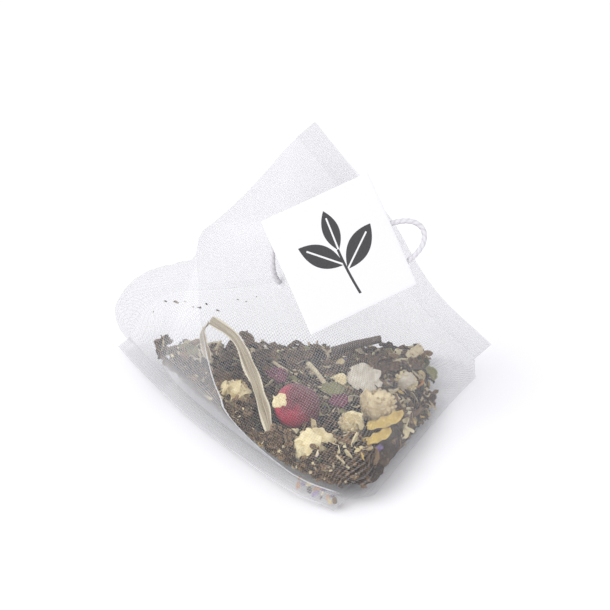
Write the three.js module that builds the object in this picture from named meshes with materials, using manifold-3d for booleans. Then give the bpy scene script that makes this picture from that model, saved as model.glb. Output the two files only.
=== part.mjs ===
// Pyramid tea bag. A tube of fine woven mesh is sealed across its two ends, one seal at right
// angles to the other, so that it opens into a four-cornered pyramid. It holds loose leaf,
// dried flowers and fruit, and carries a paper tag with its thread folded flat beneath it.
// Millimetres, +Z up. The origin is under the middle of the bag, which rests on z = 0. Places
// below are in the bag's own group, which CENTRING moves over that origin.

import * as THREE from 'three';
import { mergeVertices } from 'three/addons/utils/BufferGeometryUtils.js';
import Module from 'manifold-3d';

const wasm = await Module();
wasm.setup();

// ---- driving dimensions -------------------------------------------------------------------

const CENTRING = new THREE.Vector3(-0.21, -0.56, 0); // puts the origin under the middle
const TUBE_ROUND = 138;          // length of mesh round the tube: the bag is 69 wide laid flat
const TUBE_LENGTH = 60;          // between the two seals
const WALL = 0.3;                // mesh and its loft, kept thick enough to be solid
const LEAST_OPENING = 0.0045;    // keeps the two layers of a seal a wall's thickness apart
const PORE = 0.8;                // across one open pore of the weave
const PORE_REACH = 12;           // length of the cutter, which passes the back face only
const PORE_PLACE = [-2, 17, 30];

// The ends of the two seals. The floor seal runs from LEFT to FRONT, the top seal from PEAK
// to RIGHT.
const LEFT = new THREE.Vector3(-34.1, 25.5, 2.2);
const FRONT = new THREE.Vector3(7.4, -28.5, 2.2);
const PEAK = new THREE.Vector3(-0.6, 2.5, 58.2);
const RIGHT = new THREE.Vector3(33.4, 19, 2.4);

const FLOOR_BAND = 2.8;          // width of the floor seal
const TOP_BAND = 4.2;            // width of the top seal
const FLOOR_BOW = 3.2;           // how far the floor seal bows out between its ends
const TOP_BOW = 1.8;             // how far the top seal dips in near its lower end

// How square each fold is: 2 is round, and a high number is a sharp corner.
const PEAK_LEFT_FOLD = 5;
const PEAK_FRONT_FOLD = 2.7;
const RIGHT_FRONT_FOLD = 4.5;
const RIGHT_LEFT_FOLD = 5;

// The crease down the left of the front, on the flat pattern of the tube.
const CREASE_START = 19;         // across, from the middle of the back
const CREASE_DROP = 33.5;        // from where it starts down to where it would level out
const CREASE_DECAY = 16.3;
const CREASE_SINK = 2;           // it would level out this far below the floor seal
const CREASE_LOWEST = 1;
const CREASE_RISE = 2.6;
const CREASE_STEEP_SIDE = 3.5;
const CREASE_SOFT_SIDE = 12;

const CREASE_FADE_IN = [11, 18]; // across
const CREASE_FADE_OUT = [62, 70];

const CORNER_FULLNESS = 4.5;     // extra roundness of the left corner
const CORNER_PLACE = [6, 11];    // its middle on the flat pattern
const CORNER_SPREAD = [11, 12];
const CORNER_RISE = 4;           // height over which it comes in above the floor seal
const BELLY = 3.4;               // how far the tea pushes the mesh out near the floor
const BELLY_TOP = 26;            // height where that push ends
const BELLY_RISE = 20;           // and the height over which it fades
const SEAL_RISE = 6;             // neither seal is pushed out: it comes in over this width
const FLOOR_SOFTNESS = 1.2;      // radius of the turn from wall to floor
const FLOOR_LIFT = 0.25;
const LEFT_LIFT = 0.5;           // the left corner is this far off the floor
const LEFT_LIFT_FROM = [-27, -20];
const FLOOR_BAND_DROP = 1.2;     // the floor seal's cut edge hangs this far down
const FLOOR_BAND_LOWEST = 0.05;

const TAG_SIDE = 22;
const TAG_THICK = 0.35;
const TAG_CENTRE = new THREE.Vector3(6.6, -6.4, 39.9);
const TAG_TILT = 1;              // leans back so that it lies along the front fold
const TAG_SWING = 0.3;           // and faces a little to the right
const TAG_TURN = 0.436;          // in its own plane
const THREAD = 1;                // diameter
const THREAD_GAP = 0.3;          // between the thread and the back of the tag
const THREAD_SIDES = 8;
const THREAD_STEPS = 78;

const BED_CLEARANCE = 1.3;       // between the wall and the tea
const BED_TOP = 6.6;             // height of the tea under the middle of the bag
const BED_SLOPE = 0.09;          // it lies deeper towards the front
const BED_BACK_TOP = 6.9;        // behind the middle it falls away to the back
const BED_BACK_SLOPE = 0.22;
const BED_RIGHT_END = 27;        // the tea runs down to nothing here, towards the right corner
const BED_RIGHT_SLOPE = 0.62;
const BED_BLOCK = 60;            // depth of the block it is cut from, larger than the bag
const POCKET_GAP = 0.55;         // the tea stays this clear of a piece that sinks into it

const AROUND = 48;               // mesh facets round the tube
const LEVELS = 18;               // and along it
const FINE_STEPS = 720;          // used to measure round one level
const INSIDE_SPAN = [0.05, 0.955]; // levels where the inside starts and ends
const BED_LEVELS = 15;
const BED_SPAN = [0.11, 0.9];

// ---- helpers ------------------------------------------------------------------------------

const mix = THREE.MathUtils.lerp;
const clamp = THREE.MathUtils.clamp;
const smoothstep = THREE.MathUtils.smoothstep;
const wrap = (index, count) => ((index % count) + count) % count;

const matt = (colour, roughness = 0.8) =>
  new THREE.MeshStandardMaterial({ color: colour, roughness, metalness: 0 });

const bag = new THREE.Group();
bag.position.copy(CENTRING);

function addPiece(name, geometry, material) {
  const mesh = new THREE.Mesh(geometry, material);
  mesh.name = name;
  bag.add(mesh);
  return mesh;
}

// A closed solid through a row of loops with the same count of points. An end is closed by a
// fan, or zipped side to side from the given index where the loop is flat or bowed.
function closedLoft(loops, startZip = null, endZip = null) {
  const count = loops[0].length;
  const points = loops.flat();
  const index = [];
  for (let i = 0; i + 1 < loops.length; i++) {
    for (let j = 0; j < count; j++) {
      const a = i * count + j;
      const b = i * count + wrap(j + 1, count);
      index.push(a, b, b + count, a, b + count, a + count);
    }
  }
  const closeEnd = (row, zip, flip) => {
    const corner = (j) => row * count + wrap(j, count);
    const push = (a, b, c) => index.push(...(flip ? [a, c, b] : [a, b, c]));
    if (zip === null) {
      const centre = points.length;
      const middle = loops[row].reduce((sum, p) => sum.add(p), new THREE.Vector3());
      points.push(middle.divideScalar(count));
      for (let j = 0; j < count; j++) push(centre, corner(j + 1), corner(j));
      return;
    }
    for (let k = 0; k < count / 2; k++) {
      const [a, b] = [corner(zip + k), corner(zip + k + 1)];
      const [c, d] = [corner(zip - k - 1), corner(zip - k)];
      if (b !== c) push(a, c, b);
      if (a !== d) push(a, d, c);
    }
  };
  closeEnd(0, startZip, false);
  closeEnd(loops.length - 1, endZip, true);
  const geometry = new THREE.BufferGeometry().setFromPoints(points);
  geometry.setIndex(index);
  return facingOut(geometry);
}

function facingOut(geometry) {
  const place = geometry.getAttribute('position');
  const index = geometry.getIndex().array;
  const corner = (i) => new THREE.Vector3().fromBufferAttribute(place, index[i]);
  let volume = 0;
  for (let i = 0; i < index.length; i += 3) {
    volume += corner(i).dot(corner(i + 1).cross(corner(i + 2)));
  }
  if (volume < 0) {
    for (let i = 0; i < index.length; i += 3) {
      [index[i + 1], index[i + 2]] = [index[i + 2], index[i + 1]];
    }
  }
  geometry.computeVertexNormals();
  return geometry;
}

function toSolid(geometry, matrix = null) {
  const bare = geometry.clone();
  bare.deleteAttribute('normal');
  bare.deleteAttribute('uv');
  if (matrix) bare.applyMatrix4(matrix);
  const merged = mergeVertices(bare, 1e-4);
  return new wasm.Manifold(new wasm.Mesh({
    numProp: 3,
    vertProperties: Float32Array.from(merged.getAttribute('position').array),
    triVerts: Uint32Array.from(merged.getIndex().array),
  }));
}

function fromSolid(solid) {
  const mesh = solid.getMesh();
  const geometry = new THREE.BufferGeometry();
  geometry.setAttribute('position', new THREE.BufferAttribute(mesh.vertProperties, 3));
  geometry.setIndex(new THREE.BufferAttribute(mesh.triVerts, 1));
  geometry.computeVertexNormals();
  return geometry;
}

// ---- the bag's surface --------------------------------------------------------------------

const floorMiddle = LEFT.clone().add(FRONT).multiplyScalar(0.5);
const floorHalf = FRONT.clone().sub(LEFT).multiplyScalar(0.5);
const topMiddle = PEAK.clone().add(RIGHT).multiplyScalar(0.5);
const topHalf = RIGHT.clone().sub(PEAK).multiplyScalar(0.5);
const tubeAxis = topMiddle.clone().sub(floorMiddle).normalize();

const square = (direction, edge) =>
  direction.clone().addScaledVector(edge, -direction.dot(edge) / edge.lengthSq()).normalize();
const floorOut = square(tubeAxis.clone().negate(), floorHalf);
const topOut = square(tubeAxis, topHalf);
const floorFlat = new THREE.Vector3(floorOut.x, floorOut.y, 0).normalize();

function foldPower(x, y) {
  if (x < 0) return y < 0 ? PEAK_LEFT_FOLD : RIGHT_LEFT_FOLD;
  return y < 0 ? PEAK_FRONT_FOLD : RIGHT_FRONT_FOLD;
}

// One level of the tube, 0 at the floor seal and 1 at the top seal, as points at equal steps of
// mesh. The tube is pulled out to its full length of mesh, so a softer fold gives fuller sides.
function tubeLevel(level, around) {
  const alongFloor = Math.max(1 - level, LEAST_OPENING);
  const alongTop = Math.max(level, LEAST_OPENING);
  const path = [];
  let length = 0;
  for (let i = 0; i <= FINE_STEPS; i++) {
    const turn = Math.PI * (1 + 2 * i / FINE_STEPS);
    const [c, s] = [Math.cos(turn), Math.sin(turn)];
    const power = foldPower(c, s);
    const reach = (Math.abs(c) ** power + Math.abs(s) ** power) ** (-1 / power);
    const point = new THREE.Vector3()
      .addScaledVector(floorHalf, c * reach * alongFloor)
      .addScaledVector(topHalf, s * reach * alongTop);
    if (i > 0) length += point.distanceTo(path[i - 1].point);
    path.push({ point, length, x: c * reach, y: s * reach });
  }
  const swell = TUBE_ROUND / length;
  const middle = floorMiddle.clone().lerp(topMiddle, level);
  const loop = [];
  for (let j = 0, i = 1; j < around; j++) {
    const wanted = length * j / around;
    while (path[i].length < wanted) i++;
    const part = (wanted - path[i - 1].length) / (path[i].length - path[i - 1].length);
    const x = mix(path[i - 1].x, path[i].x, part);
    const y = mix(path[i - 1].y, path[i].y, part);
    const bow = FLOOR_BOW * (1 - level) ** 1.5 * (1 - x * x);
    const dip = TOP_BOW * level ** 2 * Math.sin(Math.PI * clamp((y + 0.2) / 1.2, 0, 1)) ** 1.5;
    loop.push(path[i - 1].point.clone().lerp(path[i].point, part)
      .multiplyScalar(swell)
      .add(middle)
      .addScaledVector(floorFlat, bow)
      .addScaledVector(topOut, -dip));
  }
  return loop;
}

function outwardAt(loops, i, j) {
  const count = loops[i].length;
  const along = loops[Math.min(i + 1, loops.length - 1)][j].clone()
    .sub(loops[Math.max(i - 1, 0)][j]);
  const round = loops[i][wrap(j + 1, count)].clone().sub(loops[i][wrap(j - 1, count)]);
  return round.cross(along).normalize();
}

// How far the mesh stands out from the plain pyramid, at a place on the flat pattern.
function standOut(across, height, z) {
  const drop = CREASE_DROP * Math.exp(-(across - CREASE_START) / CREASE_DECAY);
  const creaseHeight = Math.max(drop - CREASE_SINK, CREASE_LOWEST);
  const away = (height - creaseHeight) / Math.hypot(1, drop / CREASE_DECAY);
  const reach = away < 0 ? CREASE_STEEP_SIDE : CREASE_SOFT_SIDE;
  const fade = smoothstep(across, ...CREASE_FADE_IN)
    * (1 - smoothstep(across, ...CREASE_FADE_OUT));
  const crease = CREASE_RISE * fade * Math.exp(-Math.abs(away) / reach);

  const fromCorner = across > TUBE_ROUND / 2 ? across - TUBE_ROUND : across;
  const aside = (fromCorner - CORNER_PLACE[0]) / CORNER_SPREAD[0];
  const above = (height - CORNER_PLACE[1]) / CORNER_SPREAD[1];
  const corner = CORNER_FULLNESS * clamp(height / CORNER_RISE, 0, 1)
    * Math.exp(-(aside ** 2) - above ** 2);

  const offSeals = clamp(height / SEAL_RISE, 0, 1)
    * clamp((TUBE_LENGTH - height) / SEAL_RISE, 0, 1);
  const belly = BELLY * clamp((BELLY_TOP - z) / BELLY_RISE, 0, 1) * offSeals;
  return crease + corner + belly;
}

// Rests the mesh on the floor: flat on it, with a soft turn up to the walls, and with the left
// corner just off it.
function settle(x, z) {
  const soft = FLOOR_SOFTNESS * Math.log1p(Math.exp(Math.min(z / FLOOR_SOFTNESS, 40)));
  const lift = LEFT_LIFT * (1 - smoothstep(x, ...LEFT_LIFT_FROM));
  return Math.max((z > 6 * FLOOR_SOFTNESS ? z : soft) - FLOOR_LIFT, 0) + lift;
}

// The tube's loops between two levels, pulled in from the outside by inset.
function tubeLoops(from, to, steps, inset) {
  const levels = Array.from({ length: steps + 1 }, (_, i) => mix(from, to, i / steps));
  const plain = levels.map((level) => tubeLevel(level, AROUND));
  const outer = plain.map((loop, i) => loop.map((point, j) => {
    const across = TUBE_ROUND * j / AROUND;
    const push = standOut(across, TUBE_LENGTH * levels[i], point.z);
    const moved = point.clone().addScaledVector(outwardAt(plain, i, j), push);
    return moved.setZ(settle(moved.x, moved.z));
  }));
  if (!inset) return outer;
  return outer.map((loop, i) => loop.map((point, j) =>
    point.clone().addScaledVector(outwardAt(outer, i, j), -inset)));
}

// ---- the mesh bag -------------------------------------------------------------------------

function bandLoops(loop, direction, width, drop) {
  const parts = [0.5, 1];
  return parts.map((part) => loop.map((point) => {
    const moved = point.clone().addScaledVector(direction, width * part);
    return moved.setZ(Math.max(moved.z - drop * part, FLOOR_BAND_LOWEST));
  }));
}

function makeMeshBag() {
  const body = tubeLoops(0, 1, LEVELS, 0);
  const floorBand = bandLoops(body[0], floorFlat, FLOOR_BAND, FLOOR_BAND_DROP).reverse();
  const topBand = bandLoops(body[LEVELS], topOut, TOP_BAND, 0);
  const outside = closedLoft([...floorBand, ...body, ...topBand], 0, AROUND / 4);
  const inside = closedLoft(tubeLoops(...INSIDE_SPAN, LEVELS - 2, WALL), 0, AROUND / 4);

  // One pore of the weave, so that the inside is open as the real mesh is.
  const pore = new THREE.CylinderGeometry(PORE / 2, PORE / 2, PORE_REACH, 8)
    .translate(...PORE_PLACE);
  return toSolid(outside).subtract(toSolid(inside)).subtract(toSolid(pore));
}

addPiece('mesh_bag', fromSolid(makeMeshBag()), matt(0xe6e4ec, 0.6));

// ---- tag and thread -----------------------------------------------------------------------

const tagMount = new THREE.Group();
tagMount.position.copy(TAG_CENTRE);
tagMount.rotation.set(TAG_TILT, TAG_SWING, TAG_TURN);
bag.add(tagMount);

const tag = addPiece('tag', new THREE.BoxGeometry(TAG_SIDE, TAG_SIDE, TAG_THICK), matt(0xf7f5f6));
tagMount.add(tag);

// The thread's route behind the tag, in the tag's own plane: x right, y up, z towards the eye.
// It is tacked to the mesh at the tag's left edge, zigzags, and shows one loop on the right.
const THREAD_DEPTH = -(TAG_THICK / 2 + THREAD_GAP + THREAD / 2);
const THREAD_ROUTE = [
  [-10.9, -0.7, -5.6], [-11.4, 1, -4.5], [-11.4, 3, -2.9], [-10.8, 5.1, -1.6], [-9.6, 7], [-7.8, 8.1],
  [-5, 8.5], [0, 8.5], [4, 8.5], [6.9, 8.5], [8.4, 7.9], [9, 6.4], [8.4, 4.9], [6.9, 4.3],
  [4, 4.3], [0, 4.3], [-3, 4.3], [-6, 4.3], [-7.4, 3.7], [-8, 2.3], [-7.4, 0.9], [-6, 0.3],
  [-3, 0.3], [1, 0.4], [5, 0.7], [9, 0.9], [12.6, 0.6, -0.9], [15.3, -0.6, -0.6],
  [16.4, -2.6, -0.5], [15.5, -4.8, -0.6], [12.9, -6.3, -0.9], [9, -7.1], [5, -7.5], [0, -7.6],
  [-3.4, -7.6], [-6.4, -7.6], [-7.9, -7], [-8.5, -5.5], [-7.9, -4], [-6.4, -3.4], [-3.4, -3.4],
  [1, -3.4], [6.5, -3.5],
];

function makeThread() {
  const route = THREAD_ROUTE.map(([x, y, z = THREAD_DEPTH]) => new THREE.Vector3(x, y, z));
  const section = new THREE.Shape();
  for (let k = 0; k < THREAD_SIDES; k++) {
    const turn = 2 * Math.PI * k / THREAD_SIDES;
    const [x, y] = [THREAD / 2 * Math.cos(turn), THREAD / 2 * Math.sin(turn)];
    if (k === 0) section.moveTo(x, y);
    else section.lineTo(x, y);
  }
  section.closePath();
  const tube = new THREE.ExtrudeGeometry(section, {
    steps: THREAD_STEPS,
    extrudePath: new THREE.CatmullRomCurve3(route),
  });
  tube.deleteAttribute('normal');
  tube.deleteAttribute('uv');
  return facingOut(mergeVertices(tube, 1e-4));
}

tagMount.add(addPiece('thread', makeThread(), matt(0xefeef0)));

// ---- the contents -------------------------------------------------------------------------

const vector = (list) => new THREE.Vector3(...list);

// A petal, leaf, stalk or twig: a flattened, tapering strip along a bent spine.
function makeStrip({ spine, width, thick, face = [0, 0, 1], point = 0.25 }) {
  const stations = 6;
  const sides = 8;
  const curve = new THREE.CatmullRomCurve3(spine.map(vector));
  const loops = [];
  for (let i = 0; i <= stations; i++) {
    const part = i / stations;
    const middle = curve.getPointAt(part);
    const along = curve.getTangentAt(part);
    const side = vector(face).cross(along).normalize();
    const up = along.clone().cross(side).normalize();
    const taper = mix(point, 1, Math.sin(Math.PI * part) ** 0.6);
    loops.push(Array.from({ length: sides }, (_, k) => {
      const turn = 2 * Math.PI * k / sides;
      return middle.clone()
        .addScaledVector(side, width / 2 * taper * Math.cos(turn))
        .addScaledVector(up, thick / 2 * Math.sqrt(taper) * Math.sin(turn));
    }));
  }
  return closedLoft(loops);
}

// The room a strip takes up in the tea: the strip, larger by the pocket's gap all round.
function roomFor({ spine, width, thick, face }) {
  const ends = [spine[0], spine[spine.length - 1]].map(vector);
  const along = ends[1].clone().sub(ends[0]).setLength(2 * POCKET_GAP);
  const longer = [ends[0].sub(along).toArray(), ...spine, ends[1].add(along).toArray()];
  return makeStrip({
    spine: longer,
    width: width + 2 * POCKET_GAP,
    thick: thick + 2 * POCKET_GAP,
    face,
    point: 0.7,
  });
}

// A dried flower head: a cone of florets on a collar of short shrunken petals.
function makeHead({ radius, height }) {
  const profile = [[0, -0.5], [0.3, -0.46], [0.72, -0.2], [1, 0], [0.92, 0.18], [0.78, 0.34],
    [0.45, 0.48], [0, 0.52]];
  const lathe = new THREE.LatheGeometry(
    profile.map(([r, h]) => new THREE.Vector2(radius * r, height * h)), 12);
  return turnedUp(lathe);
}

function makeBerry({ radius, height }) {
  const profile = [[0, -0.5], [0.5, -0.44], [0.86, -0.25], [1, 0], [0.88, 0.26], [0.55, 0.43],
    [0.28, 0.5], [0.2, 0.44], [0, 0.42]];
  const lathe = new THREE.LatheGeometry(
    profile.map(([r, h]) => new THREE.Vector2(radius * r, height * h)), 14);
  return turnedUp(lathe);
}

// Stands a lathe's axis along +Z and joins its seam.
function turnedUp(lathe) {
  lathe.deleteAttribute('normal');
  lathe.deleteAttribute('uv');
  return facingOut(mergeVertices(lathe, 1e-4).rotateX(Math.PI / 2));
}

const COLOURS = {
  cream: 0xd9cfa0, straw: 0xc9b98a, yellow: 0xd8b53a, green: 0x7d8048, dark: 0x3b332d,
  purple: 0x4c3a63, wine: 0x54233a, red: 0xa31f3c, pale: 0xe8e0cf, orange: 0xa5622e,
};

// The round pieces sink into the tea, each in its own pocket.
const ROUND_PIECES = [
  { name: 'red_berry', make: makeBerry, at: [-1.1, -10.5, 9.8], radius: 4.3, height: 8.4,
    lean: [0.9, 0, -0.5], colour: 'red' },
  { name: 'chamomile_head_1', make: makeHead, at: [1.7, -20.2, 7.3], radius: 3.4, height: 5.6,
    lean: [0.7, 0.3, 0], colour: 'cream' },
  { name: 'chamomile_head_2', make: makeHead, at: [14, -9.6, 9], radius: 3.4, height: 5.4,
    lean: [0.8, -0.2, 0.3], colour: 'straw' },
  { name: 'chamomile_head_3', make: makeHead, at: [8.6, -15, 8.8], radius: 2.4, height: 3.8,
    lean: [0.5, 0.4, 0], colour: 'straw' },
  { name: 'chamomile_head_4', make: makeHead, at: [-12.4, -4.6, 8.5], radius: 2.9, height: 4.4,
    lean: [0.8, -0.4, 0], colour: 'cream' },
  { name: 'chamomile_bud', make: makeHead, at: [-18.9, 4, 6.2], radius: 1.7, height: 3,
    lean: [0.6, 0, 0.2], colour: 'green' },
  { name: 'apple_piece', make: makeHead, at: [19.3, 3.8, 5.6], radius: 2.1, height: 3.2,
    lean: [0.7, 0.3, 0], colour: 'pale' },
];

// Petals, leaves and stalks lie on the tea.
const STRIPS = [
  { name: 'lemongrass_blade', colour: 'straw', width: 2.4, thick: 0.7, face: [-0.4, -0.7, 0.6],
    spine: [[-17.6, 10.6, 15.6], [-13.2, 7.4, 14.2], [-9.8, -0.6, 11.8], [-7.6, -8.4, 10.2],
      [-6.4, -14.6, 9.2]] },
  { name: 'lemongrass_fold', colour: 'straw', width: 1.6, thick: 0.5, face: [-0.6, -0.6, 0.5],
    spine: [[-18.7, 10, 14.6], [-18.6, 8.4, 12], [-17.6, 6, 9.6]] },
  { name: 'twig', colour: 'dark', width: 1.7, thick: 1.4, point: 0.6,
    spine: [[5.6, 15.8, 5.6], [10, 17, 6.2], [15.2, 17.6, 7.2]] },
  { name: 'stalk_1', colour: 'straw', width: 0.9, thick: 0.8, point: 0.6,
    spine: [[1, 7.4, 8], [2.6, 3.6, 8.4], [4.4, -1.4, 8.6]] },
  { name: 'stalk_2', colour: 'pale', width: 0.6, thick: 0.5, point: 0.6,
    spine: [[-5.6, 11, 6], [-4.4, 8.6, 6.5], [-3, 6.8, 6.7]] },
  { name: 'stalk_3', colour: 'straw', width: 0.7, thick: 0.6, point: 0.6,
    spine: [[6.5, 4.6, 7.2], [8.2, 7.2, 6.6], [10.4, 8.8, 6.2]] },
  { name: 'pale_petal_1', colour: 'pale', width: 5, thick: 0.6, face: [0.1, -0.6, 0.8],
    spine: [[8.6, 1, 9.8], [11.4, -0.2, 9.4], [14.6, -0.8, 9.2]] },
  { name: 'pale_petal_2', colour: 'pale', width: 3.2, thick: 0.5, face: [-0.4, -0.5, 0.7],
    spine: [[-23.4, 10.8, 5.9], [-21.6, 10, 6.2], [-20, 9.4, 6.1]] },
  { name: 'pale_petal_3', colour: 'pale', width: 2.6, thick: 0.5, face: [-0.6, -0.5, 0.5],
    sunk: true,
    spine: [[-23.3, 8.4, 5.4], [-21.9, 6.8, 5.8], [-20.7, 5.2, 5.6]] },
  { name: 'cream_petal', colour: 'cream', width: 2.4, thick: 0.5, face: [-0.6, -0.5, 0.5],
    sunk: true,
    spine: [[-17.4, -0.9, 8.2], [-16.6, -2.7, 7.7], [-15.8, -4, 7]] },
  { name: 'berry_flake', colour: 'pale', width: 2, thick: 0.5, face: [-0.4, -0.6, 0.7],
    spine: [[-5.4, -13.6, 13], [-4.4, -14, 13.4], [-3, -14.4, 13.8]] },
  { name: 'yellow_petal', colour: 'yellow', width: 1.8, thick: 0.5, face: [-0.4, -0.6, 0.6],
    sunk: true,
    spine: [[-7.4, -16.6, 5.8], [-5.6, -16.8, 7.2], [-3, -17, 8]] },
  { name: 'yellow_strip_1', colour: 'yellow', width: 1.9, thick: 0.5, face: [0.2, -0.5, 0.8],
    spine: [[11.6, -16.6, 9.6], [15, -14.6, 9.2], [18.4, -10.8, 9]] },
  { name: 'yellow_strip_2', colour: 'yellow', width: 1.6, thick: 0.5, face: [0.3, -0.5, 0.7],
    sunk: true,
    spine: [[10.8, -21.4, 9.2], [13.2, -19.6, 9.1], [16, -16.6, 9]] },
  { name: 'purple_petal_1', colour: 'purple', width: 1.8, thick: 0.5, face: [0.3, -0.6, 0.6],
    sunk: true,
    spine: [[9.2, -24.6, 6.4], [10.6, -24.2, 7], [12, -23, 7.4]] },
  { name: 'purple_petal_2', colour: 'purple', width: 0.9, thick: 0.4, face: [0.5, -0.4, 0.6],
    sunk: true,
    spine: [[13, -21.4, 7], [13.9, -20.6, 7.8], [14.4, -19.9, 7.4]] },
  { name: 'hibiscus_piece_1', colour: 'wine', width: 2.8, thick: 0.8, face: [0, -0.7, 0.7],
    spine: [[-6.2, 4.6, 8.2], [-4.8, 2.4, 8.6], [-3.8, 0, 8.4]] },
  { name: 'hibiscus_piece_2', colour: 'wine', width: 2.4, thick: 0.7, face: [0.2, -0.7, 0.6],
    spine: [[5.2, -7.4, 9.4], [6.6, -8.2, 9.6], [8, -9.6, 9.6]] },
  { name: 'orange_peel', colour: 'orange', width: 1.5, thick: 0.6, face: [0.5, -0.5, 0.6],
    spine: [[22.6, 7.4, 4], [22.5, 6, 4.2], [21.9, 4.6, 4.4]] },
  { name: 'green_leaf_1', colour: 'green', width: 2.6, thick: 0.5, face: [-0.2, -0.5, 0.8],
    spine: [[-26.4, 16.4, 4.8], [-23.2, 16.2, 5.6], [-20.4, 16.4, 5.2]] },
  { name: 'green_leaf_2', colour: 'green', width: 1.5, thick: 0.5, face: [0.2, -0.5, 0.8],
    sunk: true,
    spine: [[23.8, 13.4, 3.2], [25, 11.6, 3.2], [25.4, 9.4, 3]] },
  { name: 'green_leaf_3', colour: 'green', width: 2, thick: 0.5, face: [0.1, -0.6, 0.8],
    spine: [[3.6, -2.8, 9.2], [5.6, -3.6, 9.4], [7.8, -3.6, 9]] },
  { name: 'yellow_bud', colour: 'yellow', width: 1.9, thick: 1.2, face: [0, -0.5, 0.8],
    spine: [[20.2, 14.6, 5], [21.8, 15.2, 5.6], [23.2, 15.8, 6.4]] },
  { name: 'flower_bit', colour: 'cream', width: 2, thick: 1.1, face: [0, -0.6, 0.8],
    spine: [[5.8, 1.6, 8.4], [7, 0.2, 9], [7.4, -1.4, 8.8]] },
  { name: 'tea_curl_1', colour: 'dark', width: 2.2, thick: 0.9, face: [0, -0.8, 0.5],
    spine: [[-28.6, 19.6, 3.6], [-27.2, 19.8, 4.8], [-25.8, 20, 5.6]] },
  { name: 'tea_curl_2', colour: 'dark', width: 2.4, thick: 0.9, face: [0.2, -0.8, 0.5],
    spine: [[-12, 18.4, 3.8], [-11.2, 18.6, 5.8], [-12.2, 18.6, 7.8]] },
  { name: 'tea_curl_3', colour: 'dark', width: 2.4, thick: 1, face: [0, -0.7, 0.6],
    spine: [[-8.6, 13.4, 4.9], [-6.8, 14, 5.7], [-4.8, 14.2, 5.9]] },
  { name: 'tea_curl_4', colour: 'dark', width: 2.8, thick: 1, face: [0.1, -0.6, 0.8],
    spine: [[-2.4, 12.4, 5.1], [-0.2, 13.4, 5.9], [2.2, 13.6, 5.5]] },
  { name: 'tea_curl_5', colour: 'dark', width: 2.6, thick: 0.9, face: [0, -0.5, 0.8],
    spine: [[-16, 12, 5], [-14.4, 14.4, 5.4], [-12.6, 15.4, 5]] },
  { name: 'tea_curl_6', colour: 'dark', width: 2.4, thick: 0.9, face: [0.1, -0.6, 0.8],
    spine: [[14.2, 5.4, 6.8], [16.4, 6.8, 7], [18.6, 7.4, 6.6]] },
  { name: 'tea_curl_7', colour: 'dark', width: 2.2, thick: 0.9, face: [-0.2, -0.6, 0.8],
    spine: [[-16.4, 4, 8], [-14.8, 1.8, 8.4], [-13.6, -0.4, 8.2]] },
  { name: 'tea_curl_8', colour: 'dark', width: 2, thick: 0.9, face: [-0.2, -0.6, 0.8],
    spine: [[-9.4, 3, 7.6], [-10.6, 5.4, 7.2], [-11.6, 8.2, 6.6]] },
];

const pockets = [];
for (const piece of ROUND_PIECES) {
  const mesh = addPiece(piece.name, piece.make(piece), matt(COLOURS[piece.colour]));
  mesh.position.set(...piece.at);
  mesh.rotation.set(...piece.lean);
  mesh.updateMatrix();
  const room = piece.make({
    radius: piece.radius + POCKET_GAP,
    height: piece.height + 2 * POCKET_GAP,
  });
  pockets.push(toSolid(room, mesh.matrix));
}
for (const piece of STRIPS) {
  addPiece(piece.name, makeStrip(piece), matt(COLOURS[piece.colour]));
  if (piece.sunk) pockets.push(toSolid(roomFor(piece)));
}

// The loose leaf as one heap: it fills the foot of the bag up to a gently sloping top.
function makeBed() {
  const inner = closedLoft(tubeLoops(...BED_SPAN, BED_LEVELS, WALL + BED_CLEARANCE), 0);
  const block = new THREE.BoxGeometry(2 * BED_BLOCK, 2 * BED_BLOCK, BED_BLOCK)
    .translate(0, 0, -BED_BLOCK / 2);
  const tops = [
    new THREE.Matrix4().makeRotationX(-Math.atan(BED_SLOPE)).setPosition(0, 0, BED_TOP),
    new THREE.Matrix4().makeRotationX(-Math.atan(BED_BACK_SLOPE)).setPosition(0, 0, BED_BACK_TOP),
    new THREE.Matrix4().makeRotationY(Math.atan(BED_RIGHT_SLOPE)).setPosition(BED_RIGHT_END, 0, 0),
  ];
  let bed = toSolid(inner);
  for (const top of tops) bed = bed.intersect(toSolid(block, top));
  for (const pocket of pockets) bed = bed.subtract(pocket);
  return bed;
}

addPiece('tea_leaf_bed', fromSolid(makeBed()), matt(0x40372f, 0.95));

export default bag;
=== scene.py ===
"""A pyramid tea bag: woven mesh sealed along two crossed edges, loose leaf, dried flowers and
fruit inside it, and a paper tag with its thread folded flat beneath it."""

import math
import random

import bmesh
import bpy
import numpy as np
from mathutils import Matrix, Vector
from mathutils.bvhtree import BVHTree


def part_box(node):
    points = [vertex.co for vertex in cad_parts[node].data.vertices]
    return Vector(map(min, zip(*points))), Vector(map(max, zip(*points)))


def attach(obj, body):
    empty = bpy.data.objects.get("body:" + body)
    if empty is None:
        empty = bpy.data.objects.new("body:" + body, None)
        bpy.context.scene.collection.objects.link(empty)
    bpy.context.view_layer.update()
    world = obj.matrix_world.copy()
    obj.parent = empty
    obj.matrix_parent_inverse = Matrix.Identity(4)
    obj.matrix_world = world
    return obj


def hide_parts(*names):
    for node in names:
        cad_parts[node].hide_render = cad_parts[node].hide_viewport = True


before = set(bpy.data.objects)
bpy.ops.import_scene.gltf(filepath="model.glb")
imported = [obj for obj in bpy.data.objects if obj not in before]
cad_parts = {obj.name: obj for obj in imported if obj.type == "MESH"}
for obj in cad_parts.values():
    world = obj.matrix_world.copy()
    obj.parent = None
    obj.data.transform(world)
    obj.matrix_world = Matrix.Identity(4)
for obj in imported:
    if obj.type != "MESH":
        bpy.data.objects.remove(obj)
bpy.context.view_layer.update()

MM = 0.001
CENTRING = Vector((-0.21, -0.56, 0.0))


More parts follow.
